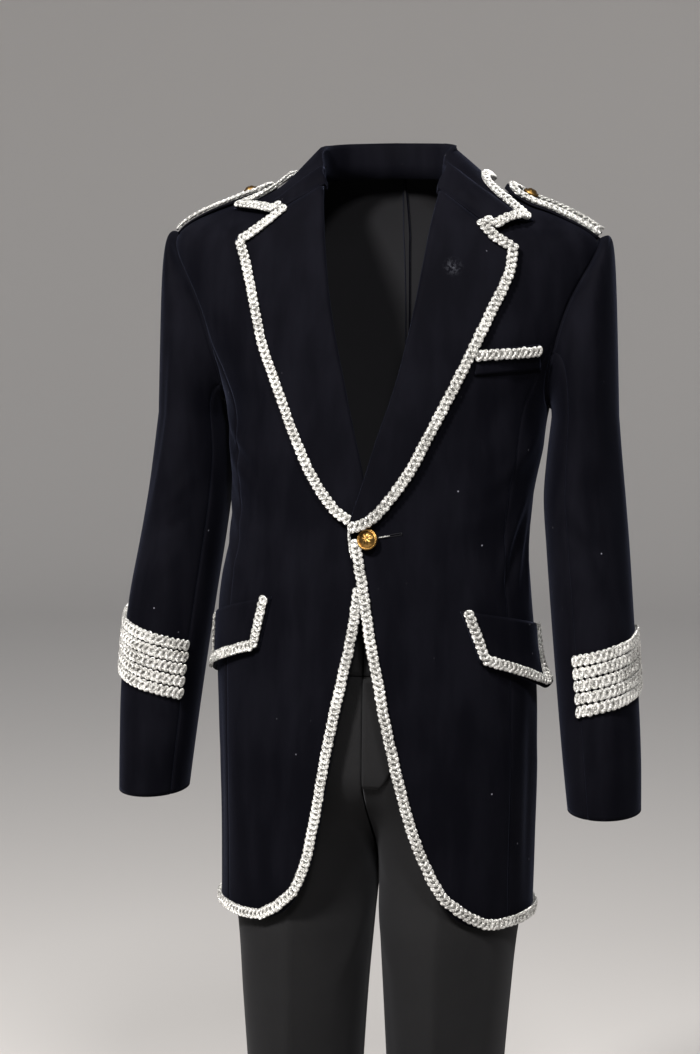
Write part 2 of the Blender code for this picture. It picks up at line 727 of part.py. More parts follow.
def sleeve_pieces(side, word):
    surface = sleeve(side)
    lengths = [CAP_SHARE * part for part in (0.0, 0.12, 0.26, 0.42, 0.6, 0.8)]
    lengths += spread(CAP_SHARE, 1.0, 8)
    half_gap = 0.62
    front_seam = FRONT_SLEEVE_SEAM[side]
    cuts = {
        "top": (HIND_SLEEVE_SEAM - 360.0 + half_gap, front_seam - half_gap, 16),
        "under": (front_seam + half_gap, HIND_SLEEVE_SEAM - half_gap, 9),
    }
    for part, (first, last, columns) in cuts.items():
        name = f"sleeve_{part}_{word}"
        grid = [[surface.at(phi, v) for phi in spread(first, last, columns)] for v in lengths]
        cloth_piece(name, grid, sleeve_axis, VELVET_WALL, velvet(name + "_finish"))


def cuff_braids(side, word):
    """Rows of braid round the top sleeve, each rising to a point on the outer side."""
    surface = sleeve(side)
    first = FRONT_SLEEVE_SEAM[side] - 4.0
    last = HIND_SLEEVE_SEAM - 360.0 + 4.0
    turns = spread(first, CUFF_ROW_PEAK, 8) + spread(CUFF_ROW_PEAK, last, 6)[1:]
    for row in range(CUFF_ROWS):
        path = []
        for phi in turns:
            fall = CUFF_ROW_RISE_PER_DEGREE * (abs(phi - CUFF_ROW_PEAK) - (first - CUFF_ROW_PEAK))
            z = CUFF_ROW_LOW_Z[side] + row * CUFF_ROW_PITCH - fall
            path.append((phi, CAP_SHARE + (1 - CAP_SHARE) * (z - CAP_Z) / (CUFF_Z - CAP_Z)))
        braid(f"cuff_braid_{word}_{row + 1}", surface, path, CUFF_BRAID_GAP)


def flap_piece(side, word):
    surface = flap_surface(side)
    grid = [[surface.at(u, v) for u in spread(0.0, 1.0, 9)] for v in spread(0.0, 1.0, 3)]
    cloth_piece(f"flap_{word}", grid, coat_axis, VELVET_WALL, velvet(f"flap_{word}_finish"))
    inset_u = 0.042
    inset_v = 0.12
    path = [(inset_u, v) for v in (0.02, 0.45, 1 - inset_v)]
    path += [(u, 1 - inset_v) for u in spread(inset_u, 1 - inset_u, 8)[1:]]
    path += [(1 - inset_u, v) for v in (0.45, 0.02)]
    braid(f"flap_braid_{word}", surface, path, LAY_GAP)


def welt_piece():
    surface = welt_surface()
    grid = [[surface.at(u, v) for u in spread(0.0, 1.0, 6)] for v in spread(0.0, 1.0, 2)]
    cloth_piece("chest_welt", grid, coat_axis, VELVET_WALL, velvet("chest_welt_finish"))
    path = [(u, 0.24) for u in spread(0.02, 0.98, 5)]
    braid("welt_braid", surface, path, LAY_GAP)


def strap_piece(side, word):
    surface = strap_surface(side)
    grid = []
    for u in spread(0.0, 1.0, 6):
        narrow = 1.0 if u < 0.99 else 0.72
        grid.append([surface.at(u, v * narrow) for v in spread(-1.0, 1.0, 5)])
    below = surface.core
    cloth_piece(f"strap_{word}", grid, below, VELVET_WALL, velvet(f"strap_{word}_finish"))
    edge = 1 - BRAID_WIDTH / 2 / STRAP_HALF_WIDTH
    path = [(u, -edge) for u in (0.01, 0.22, 0.45, 0.68, 0.88)]
    path += [(0.935, -edge * 0.6), (0.945, 0.0), (0.935, edge * 0.6)]
    path += [(u, edge) for u in (0.88, 0.68, 0.45, 0.22, 0.01)]
    braid(f"strap_braid_{word}", surface, path, LAY_GAP)
    place = surface.at(0.76, 0.0, SEAM_GAP)
    button(f"strap_button_{word}", place, surface.normal(0.76, 0.0), STRAP_BUTTON_RADIUS)


def edge_braids(side, word):
    """Braid down the front edge, round its corner and along the hem to the middle of the back."""
    surface = coat(side)
    top = -0.300 if side > 0 else -0.345
    inset = BRAID_WIDTH / 2
    heights = [z for z in FRONT_ROWS if -0.650 < z < top] + [top]
    path = []
    for z in reversed(heights):
        path.append((theta_of(front_edge(side, z) + inset, z), z))
    corner = front_edge(side, -0.660)
    path.append((theta_of(corner + 0.009, -0.660), -0.657))
    path.append((theta_of(corner + 0.026, -0.670), -0.668))
    hem = HEM_Z + inset
    start = theta_of(front_edge(side, HEM_Z) + 0.004, HEM_Z)
    path += [(theta, hem) for theta in spread(start, SIDE_SEAM_BACK - 1.0, 12)]
    braid(f"edge_braid_{word}", surface, path, LAY_GAP)
    path = [(theta, hem) for theta in spread(SIDE_SEAM_BACK + 1.0, 179.6, 6)]
    braid(f"hem_braid_{word}", surface, path, LAY_GAP)


def lapel_braid(side, word):
    surface = lapel_surface(side)
    end = 0.90 if side < 0 else 0.985
    path = [(NOTCH_SHARE + 0.06, 0.022), (0.72, 0.022), (0.93, 0.03)]
    for v in spread(0.09, end, 13):
        roll_to_edge = (surface.at(1.0, v) - surface.at(0.0, v)).length
        path.append((1 - BRAID_WIDTH / 2 / roll_to_edge, v))
    braid(f"lapel_braid_{word}", surface, path, LAY_GAP)


def collar_braid(side, word):
    """From the notch out to the collar's point, then up its edge to the middle of the back."""
    surface = collar_surface(side)
    path = [(u, 0.952) for u in (NOTCH_SHARE + 0.05, 0.66, 0.80, 0.945)]
    for v in spread(0.84, 0.004, 20):
        fold_to_edge = (surface.at(1.0, v) - surface.at(0.0, v)).length
        path.append((1 - (BRAID_WIDTH / 2 + SEAM_GAP) / fold_to_edge, v))
    braid(f"collar_braid_{word}", surface, path, COLLAR_BRAID_GAP)


def trouser_pieces(side, word):
    surface = trousers(side)
    gap = 0.35
    cuts = {"front": (-90.0 + gap, 90.0 - gap, 10), "back": (90.0 + gap, 270.0 - gap, 8)}
    for part, (first, last, columns) in cuts.items():
        name = f"trouser_{part}_{word}"
        grid = [[surface.at(u, z) for u in spread(first, last, columns)] for z in TROUSER_ROWS]
        cloth_piece(name, grid, leg_axis, WOOL_WALL, wool(name + "_finish"))


def waistband():
    """A band round the waist that meets itself at the middle of the front."""
    grid = []
    low = WAIST_Z - BAND_HEIGHT
    gap = 0.3
    for z in (low, WAIST_Z):
        row = []
        for theta in spread(gap, 360.0 - gap, 28):
            angle = math.radians(theta)
            half_width = smooth(HIP_RINGS, 1, z)
            side_y = smooth(HIP_RINGS, 4, z)
            depth = smooth(HIP_RINGS, 2 if math.cos(angle) > 0 else 3, z) - side_y
            y = side_y + depth * abs(math.cos(angle))
            row.append(Vector((half_width * math.sin(angle), y, z)))
        grid.append(row)
    axis = Vector((0.0, -0.04, 0.0))
    cloth_piece("waistband", grid, lambda place: axis + Vector((0, 0, place.z)), WOOL_WALL,
                wool("waistband_finish"))


def fly():
    """The placket over the front opening, with a round end, on the wearer's left front."""
    surface = trousers(1)
    grid = []
    for z in (-0.426, -0.455, -0.485, -0.510, -0.525, -0.534):
        below = max(FLY_ROUND_Z - z, 0.0) / FLY_ROUND_HEIGHT
        reach = FLY_WIDTH * math.sqrt(max(1 - below**2, 0.0))
        span = math.degrees(2 * reach / smooth(HIP_RINGS, 1, z))
        grid.append([surface.at(u, z, WOOL_WALL + LAY_GAP) for u in spread(-89.6, -89.6 + span, 3)])
    cloth_piece("fly", grid, leg_axis, WOOL_WALL, wool("fly_finish"))


for old in list(bpy.data.objects):
    bpy.data.objects.remove(old, do_unlink=True)
collection = bpy.data.collections.new("dress_suit")
bpy.context.scene.collection.children.link(collection)

for side, word in ((1, "left"), (-1, "right")):
    front_panel(side, word)
    side_body(side, word)
    back_panel(side, word)
    lapel_piece(side, word)
    lapel_braid(side, word)
    collar_braid(side, word)
    sleeve_pieces(side, word)
    cuff_braids(side, word)
    flap_piece(side, word)
    strap_piece(side, word)
    edge_braids(side, word)
    trouser_pieces(side, word)
collar_piece()
welt_piece()
waistband()
fly()
button_x, button_z = FRONT_BUTTON
left_coat = coat(1)
button_theta = theta_of(button_x, button_z)
button(
    "front_button",
    left_coat.at(button_theta, button_z, SEAM_GAP),
    left_coat.normal(button_theta, button_z),
    FRONT_BUTTON_RADIUS,
)
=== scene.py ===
"""A worn dress suit: a velvet coat edged with looped silver braid, and wool trousers.

Metres, +Z up, +X the wearer's left, -Y the front. Each piece is read from the same smooth form as
its solid, in a finer grid and with its creases. Laid out as a Blender add-on, and run as a script.
"""

import bisect
import math
import random

import bmesh
import bpy
from bpy.props import FloatProperty, FloatVectorProperty, PointerProperty
from bpy.types import Operator, Panel, PropertyGroup
from mathutils import Matrix, Vector


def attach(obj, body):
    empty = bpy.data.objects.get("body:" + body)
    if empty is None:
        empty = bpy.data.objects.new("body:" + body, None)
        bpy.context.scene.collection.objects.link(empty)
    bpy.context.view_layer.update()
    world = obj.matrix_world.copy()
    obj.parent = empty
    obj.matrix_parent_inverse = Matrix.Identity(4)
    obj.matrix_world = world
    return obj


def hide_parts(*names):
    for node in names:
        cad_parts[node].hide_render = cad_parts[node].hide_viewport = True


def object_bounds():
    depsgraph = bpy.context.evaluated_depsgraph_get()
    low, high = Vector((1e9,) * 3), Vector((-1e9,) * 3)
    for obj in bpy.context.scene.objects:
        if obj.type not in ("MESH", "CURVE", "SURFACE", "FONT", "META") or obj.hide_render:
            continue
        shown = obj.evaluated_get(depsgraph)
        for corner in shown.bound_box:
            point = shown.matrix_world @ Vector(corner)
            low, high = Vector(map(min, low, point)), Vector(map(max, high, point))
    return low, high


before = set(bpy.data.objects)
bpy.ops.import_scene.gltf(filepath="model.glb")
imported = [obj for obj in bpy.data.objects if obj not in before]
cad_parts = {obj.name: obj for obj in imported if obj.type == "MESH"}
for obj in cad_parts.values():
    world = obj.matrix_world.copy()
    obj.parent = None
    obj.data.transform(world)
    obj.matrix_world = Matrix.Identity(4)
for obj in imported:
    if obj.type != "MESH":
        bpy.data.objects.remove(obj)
CAD_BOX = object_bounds()

bl_info = {
    "name": "Dress Suit",
    "version": (1, 0, 0),
    "blender": (4, 5, 0),
    "location": "View3D > Sidebar > Dress Suit",
    "description": "Builds a velvet coat with looped silver braid and wool trousers",
    "category": "Add Mesh",
}

BODY = "root"
SIDES = ((1, "left"), (-1, "right"))

# Walls of the cloth, gaps between its layers, and the braid
VELVET_WALL = 0.0020
WOOL_WALL = 0.0016
SEAM_GAP = 0.0006
LAY_GAP = 0.0008
LAPEL_LAY_GAP = 0.0019
COLLAR_STAND_OFF = 0.0016
COLLAR_BRAID_GAP = 0.0025
CUFF_BRAID_GAP = 0.0008
SETTLE_SOFTNESS = 0.006
GORGE_GAP = 0.0023
BRAID_WIDTH = 0.0105
BRAID_INSET = 0.0053

# A sewn edge: share of a column from the edge, and how far the cloth is turned in there
SEAM_TURN = ((-0.35, 0.0042), (0.0, 0.0010), (0.35, 0.0002))

# The coat. A Z is a height above the shoulder tips, an angle is from the middle of the front
HEM_Z = -0.676
HEM_CORNER_Z = -0.660
HEM_CURVE_Z = -0.600
COAT_TOP_Z = 0.080
SHOULDER_Z = 0.004
ARMPIT_Z = -0.165
ARMHOLE_Z = (SHOULDER_Z + ARMPIT_Z) / 2
ARMHOLE_HALF_HEIGHT = (SHOULDER_Z - ARMPIT_Z) / 2
ARMHOLE_HALF_ANGLE = 28.0
SIDE_SEAM_FRONT = 62.0
SIDE_SEAM_BACK = 118.0
LAP_LIFT = 0.0068
ROLL_START_Z = (-0.285, -0.265)
ROLL_RADIUS = 0.0030
ROLL_LIFT = 0.0022
LAPEL_TURN = 0.0024
FALL_BULGE = 0.0005
STAND_THICKNESS = 0.0058
STAND_HEIGHT = 0.030
STAND_END_HEIGHT = 0.006
NOTCH_SHARE = {1: 0.70, -1: 0.60}
GORGE_BOW = {1: -0.001, -1: 0.0035}
SHOULDER_LIFT = {1: (0.004, 0.001), -1: (0.012, 0.008)}
SHOULDER_TIP_X = (0.11, 0.20)
SHOULDER_RIDGE_Z = (-0.02, 0.086)
LEFT_SKIRT_EASE = 0.007
NECK_SHIFT = 0.007
COLLAR_END_SHARE = 0.72
NECK_Y = 0.012
EDGE_BRAID_TOP = {1: -0.2875, -1: -0.3355}
EDGE_BRAID_FOOT = -0.640
LAPEL_BRAID_FOOT = {1: 1.0, -1: 0.985}
BRAID_BEFORE_NOTCH = 0.165
BRAID_EASE = 0.22

# The rubbed spot on the wearer's left lapel: share across and down it, radius and strength
MARK_PLACE = (0.35, 0.17)
MARK_RADIUS = 0.013
MARK_STRENGTH = 0.17

# The sleeves. An angle is from the outer side over the front, a share is of the way down
CAP_Z = -0.175
CUFF_Z = -0.560
CAP_SHARE = 0.28
HEAD_RISE = 0.010
HEAD_PULL = 0.006
HEAD_FULLNESS = 2.0
FRONT_SLEEVE_SEAM = {1: 109.0, -1: 140.0}
HIND_SLEEVE_SEAM = 238.0
CUFF_ROWS = 5
CUFF_BRAID_WIDENING = 1.1
CUFF_ROW_PITCH = 0.0121
CUFF_ROW_START = {1: 3.0, -1: -2.5}
CUFF_ROW_LOW_Z = {1: -0.4552, -1: -0.4570}
CUFF_ROW_PEAK = -12.0
CUFF_ROW_RISE_PER_DEGREE = {1: 0.00017, -1: 0.00021}

# Flaps, chest welt, straps and buttons. A flap's heights: top front and back, then its bottom's
FLAP_THETA = {1: (37.0, 89.0), -1: (35.3, 92.0)}
FLAP_HEIGHTS = {1: (-0.356, -0.386, -0.408, -0.446), -1: (-0.348, -0.384, -0.4005, -0.441)}
FLAP_SLANT = {1: 8.0, -1: 4.2}
FLAP_FLARE = {1: 0.015, -1: 0.003}
FLAP_BACK_SLANT = {1: 15.0, -1: 1.0}
FLAP_ROUNDING = {1: 0.009, -1: 0.0}
FLAP_ROUND_SHARE = 0.84
WELT_X = (0.1025, 0.1615)
WELT_TOP_Z = (-0.1050, -0.1000)
WELT_DEPTH = 0.024
STRAP_X = {1: (0.2120, 0.1185), -1: (0.2200, 0.1230)}
STRAP_HALF_WIDTH = 0.0210
STRAP_Y = 0.011
STRAP_DROOP = 0.003
STRAP_TILT = {1: 0.0026, -1: -0.0022}
STRAP_END_RISE = {1: 0.0032, -1: 0.0045}
FRONT_BUTTON = (0.008, -0.2865)
FRONT_BUTTON_GAP = 0.0024
FRONT_BUTTON_RADIUS = 0.0105
STRAP_BUTTON_SHARE = 0.76
STRAP_BUTTON_RADIUS = 0.0080

# A button's outline as shares of its radius, and where its rosette and its beads are
BUTTON_PROFILE = (
    (0.00, 0.60), (0.10, 0.60), (0.20, 0.59), (0.30, 0.575), (0.40, 0.55), (0.50, 0.515),
    (0.60, 0.465), (0.68, 0.41), (0.75, 0.35), (0.80, 0.30), (0.83, 0.30), (0.86, 0.36),
    (0.90, 0.39), (0.95, 0.37), (0.99, 0.30), (1.00, 0.24), (0.98, 0.14), (0.80, 0.09),
    (0.60, 0.07), (0.32, 0.05), (0.30, 0.0), (0.0, 0.0),
)
ROSETTE = (0.12, 0.72)
BEADS = (0.85, 0.98)

# The worked buttonhole: its line, its stitches, its bar, and a pale silver strand along it put there as
# a painted glint, standing in for light caught in the hole
HOLE_X = (0.008, 0.039)
HOLE_Z = (-0.2858, -0.2806)
HOLE_STITCHES = (0.017, 0.0385)
HOLE_HALF_OPEN = 0.0005
HOLE_REACH = 0.0014
HOLE_BAR_X = 0.0395
HOLE_GLINT_STRAND = (0.0180, 0.0285)
GLINT_STRAND_MIDDLE = (0.024, -0.283)
STITCH_SIDES = 6
STITCH_SWELL = ((0.0, 0.25), (0.12, 0.8), (0.5, 1.0), (0.88, 0.8), (1.0, 0.25))

# Points round a braid's ring, and round its cord
RING_TURNS = 18
CORD_SIDES = 7

# The trousers. A leg's angle is from its front crease to its outer side
WAIST_Z = -0.383
BAND_HEIGHT = 0.040
BAND_OPENING = 0.3
LEG_TOP_Z = -0.424
THIGH_Z = -0.690
CROTCH_Z = -0.645
FORK_Z = -0.520
HIP_TUCK = {1: 0.010, -1: 0.004}
CREASE_DEPTH = 0.0045
CREASE_ANGLE = 9.0
FLY_WIDTH = 0.034
FLY_EDGE = -89.6
FLY_Z = (-0.426, -0.534)
FLY_ROUND_Z = -0.490
FLY_ROUND_HEIGHT = 0.050
LEG_HEM_Z = -1.455

# The studio's floor, flat out to the radius and then curved up
FLOOR_RADIUS = 6.5
FLOOR_CURVE = 2.6
WALL_HEIGHT = 5.0
FLOOR_GAP = 0.004

# The studio's lamps: place and colour of each, what they aim at and how wide they are
LAMPS = (
    ("key", (-0.80, -2.05, 1.90), (1.0, 0.97, 0.93)),
    ("second", (0.70, -2.10, 1.80), (1.0, 0.98, 0.96)),
)
LAMP_AIM = Vector((0.0, -0.1, -0.20))
LAMP_WIDTH = 0.45
SKY_COLOUR = (0.90, 0.94, 1.0, 1.0)

# The camera, level with the shoulder tips: degrees to the wearer's left and down, metres away
# and beside
VIEW_AZIMUTH = 12.0
VIEW_DOWN = 7.3
VIEW_DISTANCE = 2.28
VIEW_BESIDE = -0.0398
LENS_MM = 76.27

# Outer surface of the coat: height, half width, front y, back y, y of the widest place
COAT_RINGS = (
    (-0.680, 0.1650, -0.159, 0.070, -0.047),
    (-0.600, 0.1650, -0.158, 0.071, -0.046),
    (-0.500, 0.1660, -0.155, 0.071, -0.045),
    (-0.420, 0.1640, -0.150, 0.068, -0.043),
    (-0.350, 0.1580, -0.144, 0.064, -0.040),
    (-0.300, 0.1540, -0.138, 0.066, -0.035),
    (-0.255, 0.1560, -0.133, 0.077, -0.028),
    (-0.215, 0.1600, -0.127, 0.089, -0.020),
    (-0.165, 0.1660, -0.119, 0.101, -0.010),
    (-0.130, 0.1810, -0.113, 0.106, -0.006),
    (-0.100, 0.1970, -0.108, 0.108, -0.003),
    (-0.060, 0.2090, -0.098, 0.108, 0.000),
    (-0.020, 0.2150, -0.087, 0.105, 0.003),
    (0.005, 0.2080, -0.079, 0.102, 0.005),
    (0.025, 0.1780, -0.070, 0.098, 0.007),
    (0.046, 0.1390, -0.058, 0.092, 0.010),
    (0.066, 0.1000, -0.045, 0.083, 0.012),
    (0.086, 0.0600, -0.030, 0.070, 0.014),
)

# Ease of the coat's sides by height: how far out, wearer's left, wearer's right
SIDE_EASE = (
    (-0.520, 0.0000, 0.0000),
    (-0.470, -0.0015, 0.0018),
    (-0.430, -0.0035, 0.0045),
    (-0.400, -0.0048, 0.0066),
    (-0.365, -0.0052, 0.0078),
    (-0.325, -0.0052, 0.0066),
    (-0.300, -0.0052, 0.0030),
    (-0.275, -0.0050, 0.0006),
    (-0.240, -0.0030, 0.0000),
    (-0.205, 0.0000, 0.0000),
)

# Dip of the shoulders by distance from the middle: wearer's left, wearer's right
SHOULDER_DIPS = (
    (0.045, 0.0000, 0.0000),
    (0.065, 0.0035, 0.0030),
    (0.085, 0.0070, 0.0060),
    (0.107, 0.0080, 0.0065),
    (0.130, 0.0084, 0.0048),
    (0.145, 0.0085, 0.0037),
    (0.160, 0.0060, 0.0040),
    (0.185, 0.0040, 0.0037),
    (0.205, 0.0030, 0.0040),
    (0.221, -0.0020, 0.0050),
)

# Edge of each front, from hem to neck: height, wearer's left x, wearer's right x.
# Both are counted towards the wearer's own side, so less than 0 is past the middle.
FRONT_EDGES = (
    (-0.676, 0.128, 0.118),
    (-0.670, 0.110, 0.094),
    (-0.660, 0.095, 0.076),
    (-0.640, 0.079, 0.061),
    (-0.610, 0.063, 0.048),
    (-0.565, 0.046, 0.038),
    (-0.515, 0.033, 0.0295),
    (-0.460, 0.0210, 0.0190),
    (-0.420, 0.0140, 0.0104),
    (-0.380, 0.0062, 0.0022),
    (-0.340, -0.0002, -0.0030),
    (-0.305, -0.0070, -0.0080),
    (-0.280, -0.0105, -0.0090),
    (-0.262, -0.0082, -0.0090),
    (-0.223, 0.0050, 0.0010),
    (-0.180, 0.0165, 0.0115),
    (-0.140, 0.0288, 0.0212),
    (-0.100, 0.0377, 0.0302),
    (-0.060, 0.0452, 0.0385),
    (-0.020, 0.0508, 0.0452),
    (0.020, 0.0560, 0.0507),
    (0.056, 0.0615, 0.0575),
    (0.080, 0.0630, 0.0630),
)

# Lapels, from the gorge down: roll x, roll height, outer x, outer height
LEFT_LAPEL = (
    (0.0600, 0.0470, 0.1385, -0.0060),
    (0.0550, 0.0100, 0.1350, -0.0360),
    (0.0495, -0.0300, 0.1220, -0.0680),
    (0.0434, -0.0700, 0.1052, -0.1060),
    (0.0356, -0.1100, 0.0865, -0.1460),
    (0.0260, -0.1500, 0.0658, -0.1880),
    (0.0138, -0.1900, 0.0476, -0.2255),
    (0.0030, -0.2280, 0.0277, -0.2562),
    (-0.0056, -0.2560, 0.0125, -0.2722),
    (-0.0110, -0.2715, -0.0080, -0.2810),
)
RIGHT_LAPEL = (
    (0.0568, 0.0520, 0.1405, -0.0012),
    (0.0512, 0.0150, 0.1302, -0.0330),
    (0.0457, -0.0250, 0.1213, -0.0680),
    (0.0397, -0.0620, 0.1108, -0.1040),
    (0.0312, -0.1000, 0.0928, -0.1480),
    (0.0215, -0.1400, 0.0739, -0.1920),
    (0.0118, -0.1800, 0.0540, -0.2310),
    (0.0020, -0.2180, 0.0345, -0.2580),
    (-0.0050, -0.2480, 0.0213, -0.2695),
    (-0.0085, -0.2620, 0.0080, -0.2755),
)

# Collar from the middle of the back to the gorge: the outer edge's angle and height on the left
# and on the right, then the fold's x, y and height
COLLAR = (
    (180.0, 0.058, 180.0, 0.058, 0.0000, 0.0730, 0.1000),
    (160.0, 0.058, 160.0, 0.058, 0.0270, 0.0700, 0.0995),
    (138.0, 0.062, 138.0, 0.061, 0.0500, 0.0560, 0.0985),
    (112.0, 0.0635, 112.0, 0.0640, 0.0640, 0.0360, 0.0965),
    (80.0, 0.0655, 82.0, 0.0635, 0.0680, 0.0140, 0.0940),
    (65.0, 0.0590, 68.0, 0.0550, 0.0665, -0.0080, 0.0840),
    (61.0, 0.0440, 64.0, 0.0430, 0.0635, -0.0240, 0.0700),
    (58.0, 0.0264, 64.5, 0.0315, 0.0605, -0.0370, 0.0560),
)

# Sleeves below the cap: height, inner x, outer x, middle y, half depth
LEFT_SLEEVE_RINGS = (
    (-0.567, 0.1965, 0.2685, -0.068, 0.0490),
    (-0.510, 0.1895, 0.2670, -0.062, 0.0520),
    (-0.450, 0.1825, 0.2628, -0.052, 0.0550),
    (-0.368, 0.1733, 0.2552, -0.036, 0.0590),
    (-0.305, 0.1665, 0.2490, -0.022, 0.0620),
    (-0.255, 0.1620, 0.2432, -0.012, 0.0640),
    (-0.215, 0.1640, 0.2385, -0.006, 0.0650),
    (-0.175, 0.1680, 0.2345, -0.002, 0.0660),
)
RIGHT_SLEEVE_RINGS = (
    (-0.567, 0.1990, 0.2685, -0.068, 0.0490),
    (-0.510, 0.1925, 0.2690, -0.062, 0.0520),
    (-0.450, 0.1860, 0.2695, -0.052, 0.0550),
    (-0.368, 0.1770, 0.2650, -0.036, 0.0590),
    (-0.305, 0.1700, 0.2560, -0.022, 0.0620),
    (-0.255, 0.1655, 0.2485, -0.012, 0.0640),
    (-0.215, 0.1640, 0.2438, -0.006, 0.0650),
    (-0.175, 0.1680, 0.2390, -0.002, 0.0660),
)

# Trousers above the fork: height, half width, front y, back y, y of the widest place
HIP_RINGS = (
    (-0.660, 0.1600, -0.134, 0.050, -0.045),
    (-0.600, 0.1620, -0.137, 0.056, -0.045),
    (-0.540, 0.1632, -0.138, 0.059, -0.044),
    (-0.480, 0.1600, -0.136, 0.058, -0.042),
    (-0.430, 0.1520, -0.132, 0.054, -0.040),
    (-0.383, 0.1420, -0.127, 0.050, -0.038),
)

# One leg: height, inner x, outer x, middle y, half depth
LEG_RINGS = (
    (-1.455, 0.0230, 0.1210, -0.058, 0.0680),
    (-1.300, 0.0230, 0.1215, -0.060, 0.0680),
    (-1.100, 0.0220, 0.1230, -0.063, 0.0700),
    (-0.960, 0.0190, 0.1265, -0.066, 0.0730),
    (-0.860, 0.0150, 0.1310, -0.066, 0.0760),
    (-0.765, 0.0095, 0.1380, -0.062, 0.0790),
    (-0.690, 0.0040, 0.1450, -0.054, 0.0820),
    (-0.645, 0.0012, 0.1550, -0.046, 0.0830),
    (-0.500, 0.0010, 0.1550, -0.046, 0.0860),
)

# Creases. Each row is a path through three places, then its half width and its height in
# millimetres, below 0 for a trough. On the coat a place is an angle from the middle of the
# front and a height in millimetres.
COAT_CREASES = {
    1: (
        (50, -58, 38, -120, 26, -200, 24, 1.6),
        (60, -95, 52, -150, 40, -215, 14, -1.0),
        (80, -182, 64, -214, 44, -246, 9, 1.5),
        (84, -205, 66, -240, 40, -272, 10, -1.3),
        (70, -228, 52, -262, 22, -282, 10, 1.4),
        (79, -250, 66, -288, 56, -345, 7, 2.6),
        (86, -268, 75, -310, 67, -352, 6, 2.0),
        (82, -262, 70, -300, 60, -348, 5, -1.8),
        (97, -255, 88, -300, 84, -365, 8, 1.8),
        (60, -470, 56, -560, 52, -665, 22, 2.2),
        (78, -440, 80, -550, 78, -670, 14, -2.2),
        (90, -430, 94, -540, 97, -672, 12, 2.4),
        (24, -420, 32, -500, 44, -590, 20, -1.4),
        (112, -235, 124, -275, 150, -300, 11, 1.9),
        (108, -262, 122, -300, 146, -322, 9, -1.6),
        (106, -290, 126, -325, 158, -345, 12, 1.7),
        (120, -120, 140, -165, 164, -205, 17, 1.5),
        (118, -420, 121, -530, 124, -672, 15, 2.0),
        (142, -430, 146, -560, 150, -675, 24, 2.6),
        (133, -480, 134, -580, 136, -674, 12, -1.8),
        (150, 20, 160, -20, 176, -34, 10, 1.1),
    ),
    -1: (
        (52, -50, 44, -110, 34, -190, 22, 1.4),
        (82, -168, 63, -194, 40, -224, 9, 2.2),
        (80, -182, 62, -208, 42, -238, 7, -1.6),
        (82, -196, 61, -226, 36, -262, 10, 2.0),
        (86, -224, 66, -262, 40, -282, 9, -1.4),
        (88, -240, 68, -276, 36, -294, 9, 1.5),
        (92, -268, 74, -300, 56, -338, 8, 1.7),
        (26, -302, 44, -326, 62, -336, 11, -1.2),
        (96, -292, 88, -340, 85, -392, 7, 1.6),
        (56, -460, 54, -560, 52, -668, 20, 2.0),
        (72, -430, 74, -545, 72, -672, 13, -2.0),
        (86, -420, 90, -545, 92, -672, 12, 2.2),
        (20, -400, 28, -480, 40, -580, 18, -1.2),
        (110, -228, 126, -262, 148, -292, 10, 1.8),
        (107, -250, 124, -288, 150, -310, 9, -1.5),
        (104, -300, 122, -330, 154, -352, 13, 1.8),
        (122, -110, 138, -160, 160, -198, 18, 1.4),
        (112, -430, 116, -540, 118, -672, 14, 2.0),
        (138, -440, 140, -560, 141, -675, 22, 2.4),
        (156, -470, 158, -570, 160, -674, 14, -1.7),
    ),
}
SKIN_PER_DEGREE = 0.0026

# On a sleeve a place is an angle from the outer side over the front, and the share of the
# way down in hundredths.
SLEEVE_CREASES = {
    1: (
        (96, 12, 90, 26, 84, 44, 8, 1.7),
        (66, 8, 58, 24, 62, 40, 9, 1.2),
        (78, 30, 70, 46, 74, 60, 7, -1.3),
        (112, 40, 88, 46, 56, 50, 7, 2.0),
        (118, 46, 92, 50, 62, 53, 6, -1.8),
        (110, 53, 86, 57, 58, 62, 8, 1.6),
        (60, 60, 40, 66, 22, 70, 9, 1.2),
        (20, 14, 12, 34, 16, 52, 12, 1.3),
        (214, 34, 232, 42, 262, 45, 9, 2.0),
        (210, 44, 236, 50, 268, 50, 8, -1.8),
        (216, 52, 240, 56, 272, 58, 9, 1.8),
        (300, 18, 292, 34, 298, 56, 13, 1.4),
        (80, 78, 72, 88, 70, 99, 10, 1.0),
    ),
    -1: (
        (84, 9, 72, 26, 50, 47, 7, 2.2),
        (74, 10, 60, 26, 38, 48, 6, -1.6),
        (108, 14, 100, 28, 92, 44, 8, 1.4),
        (116, 38, 92, 43, 58, 46, 8, 2.0),
        (120, 45, 94, 49, 64, 50, 6, -1.7),
        (112, 52, 88, 57, 52, 63, 9, 1.5),
        (48, 50, 40, 64, 36, 74, 9, 1.3),
        (18, 12, 10, 30, 14, 50, 12, 1.4),
        (212, 36, 234, 43, 266, 44, 9, 2.0),
        (214, 45, 238, 50, 262, 52, 7, -1.7),
        (218, 54, 242, 59, 270, 60, 10, 1.7),
        (304, 16, 296, 36, 300, 54, 13, 1.3),
        (70, 80, 66, 90, 60, 99, 10, 0.9),
    ),
}
SLEEVE_SKIN_PER_DEGREE = 0.00085
SLEEVE_LENGTH = 0.58

# Eased fullness at the front of each sleeve head: first angle, step and count, depth in mm
HEAD_PUCKERS = {1: (58.0, 5.2, 11, 0.9), -1: (70.0, 7.0, 5, 0.4)}

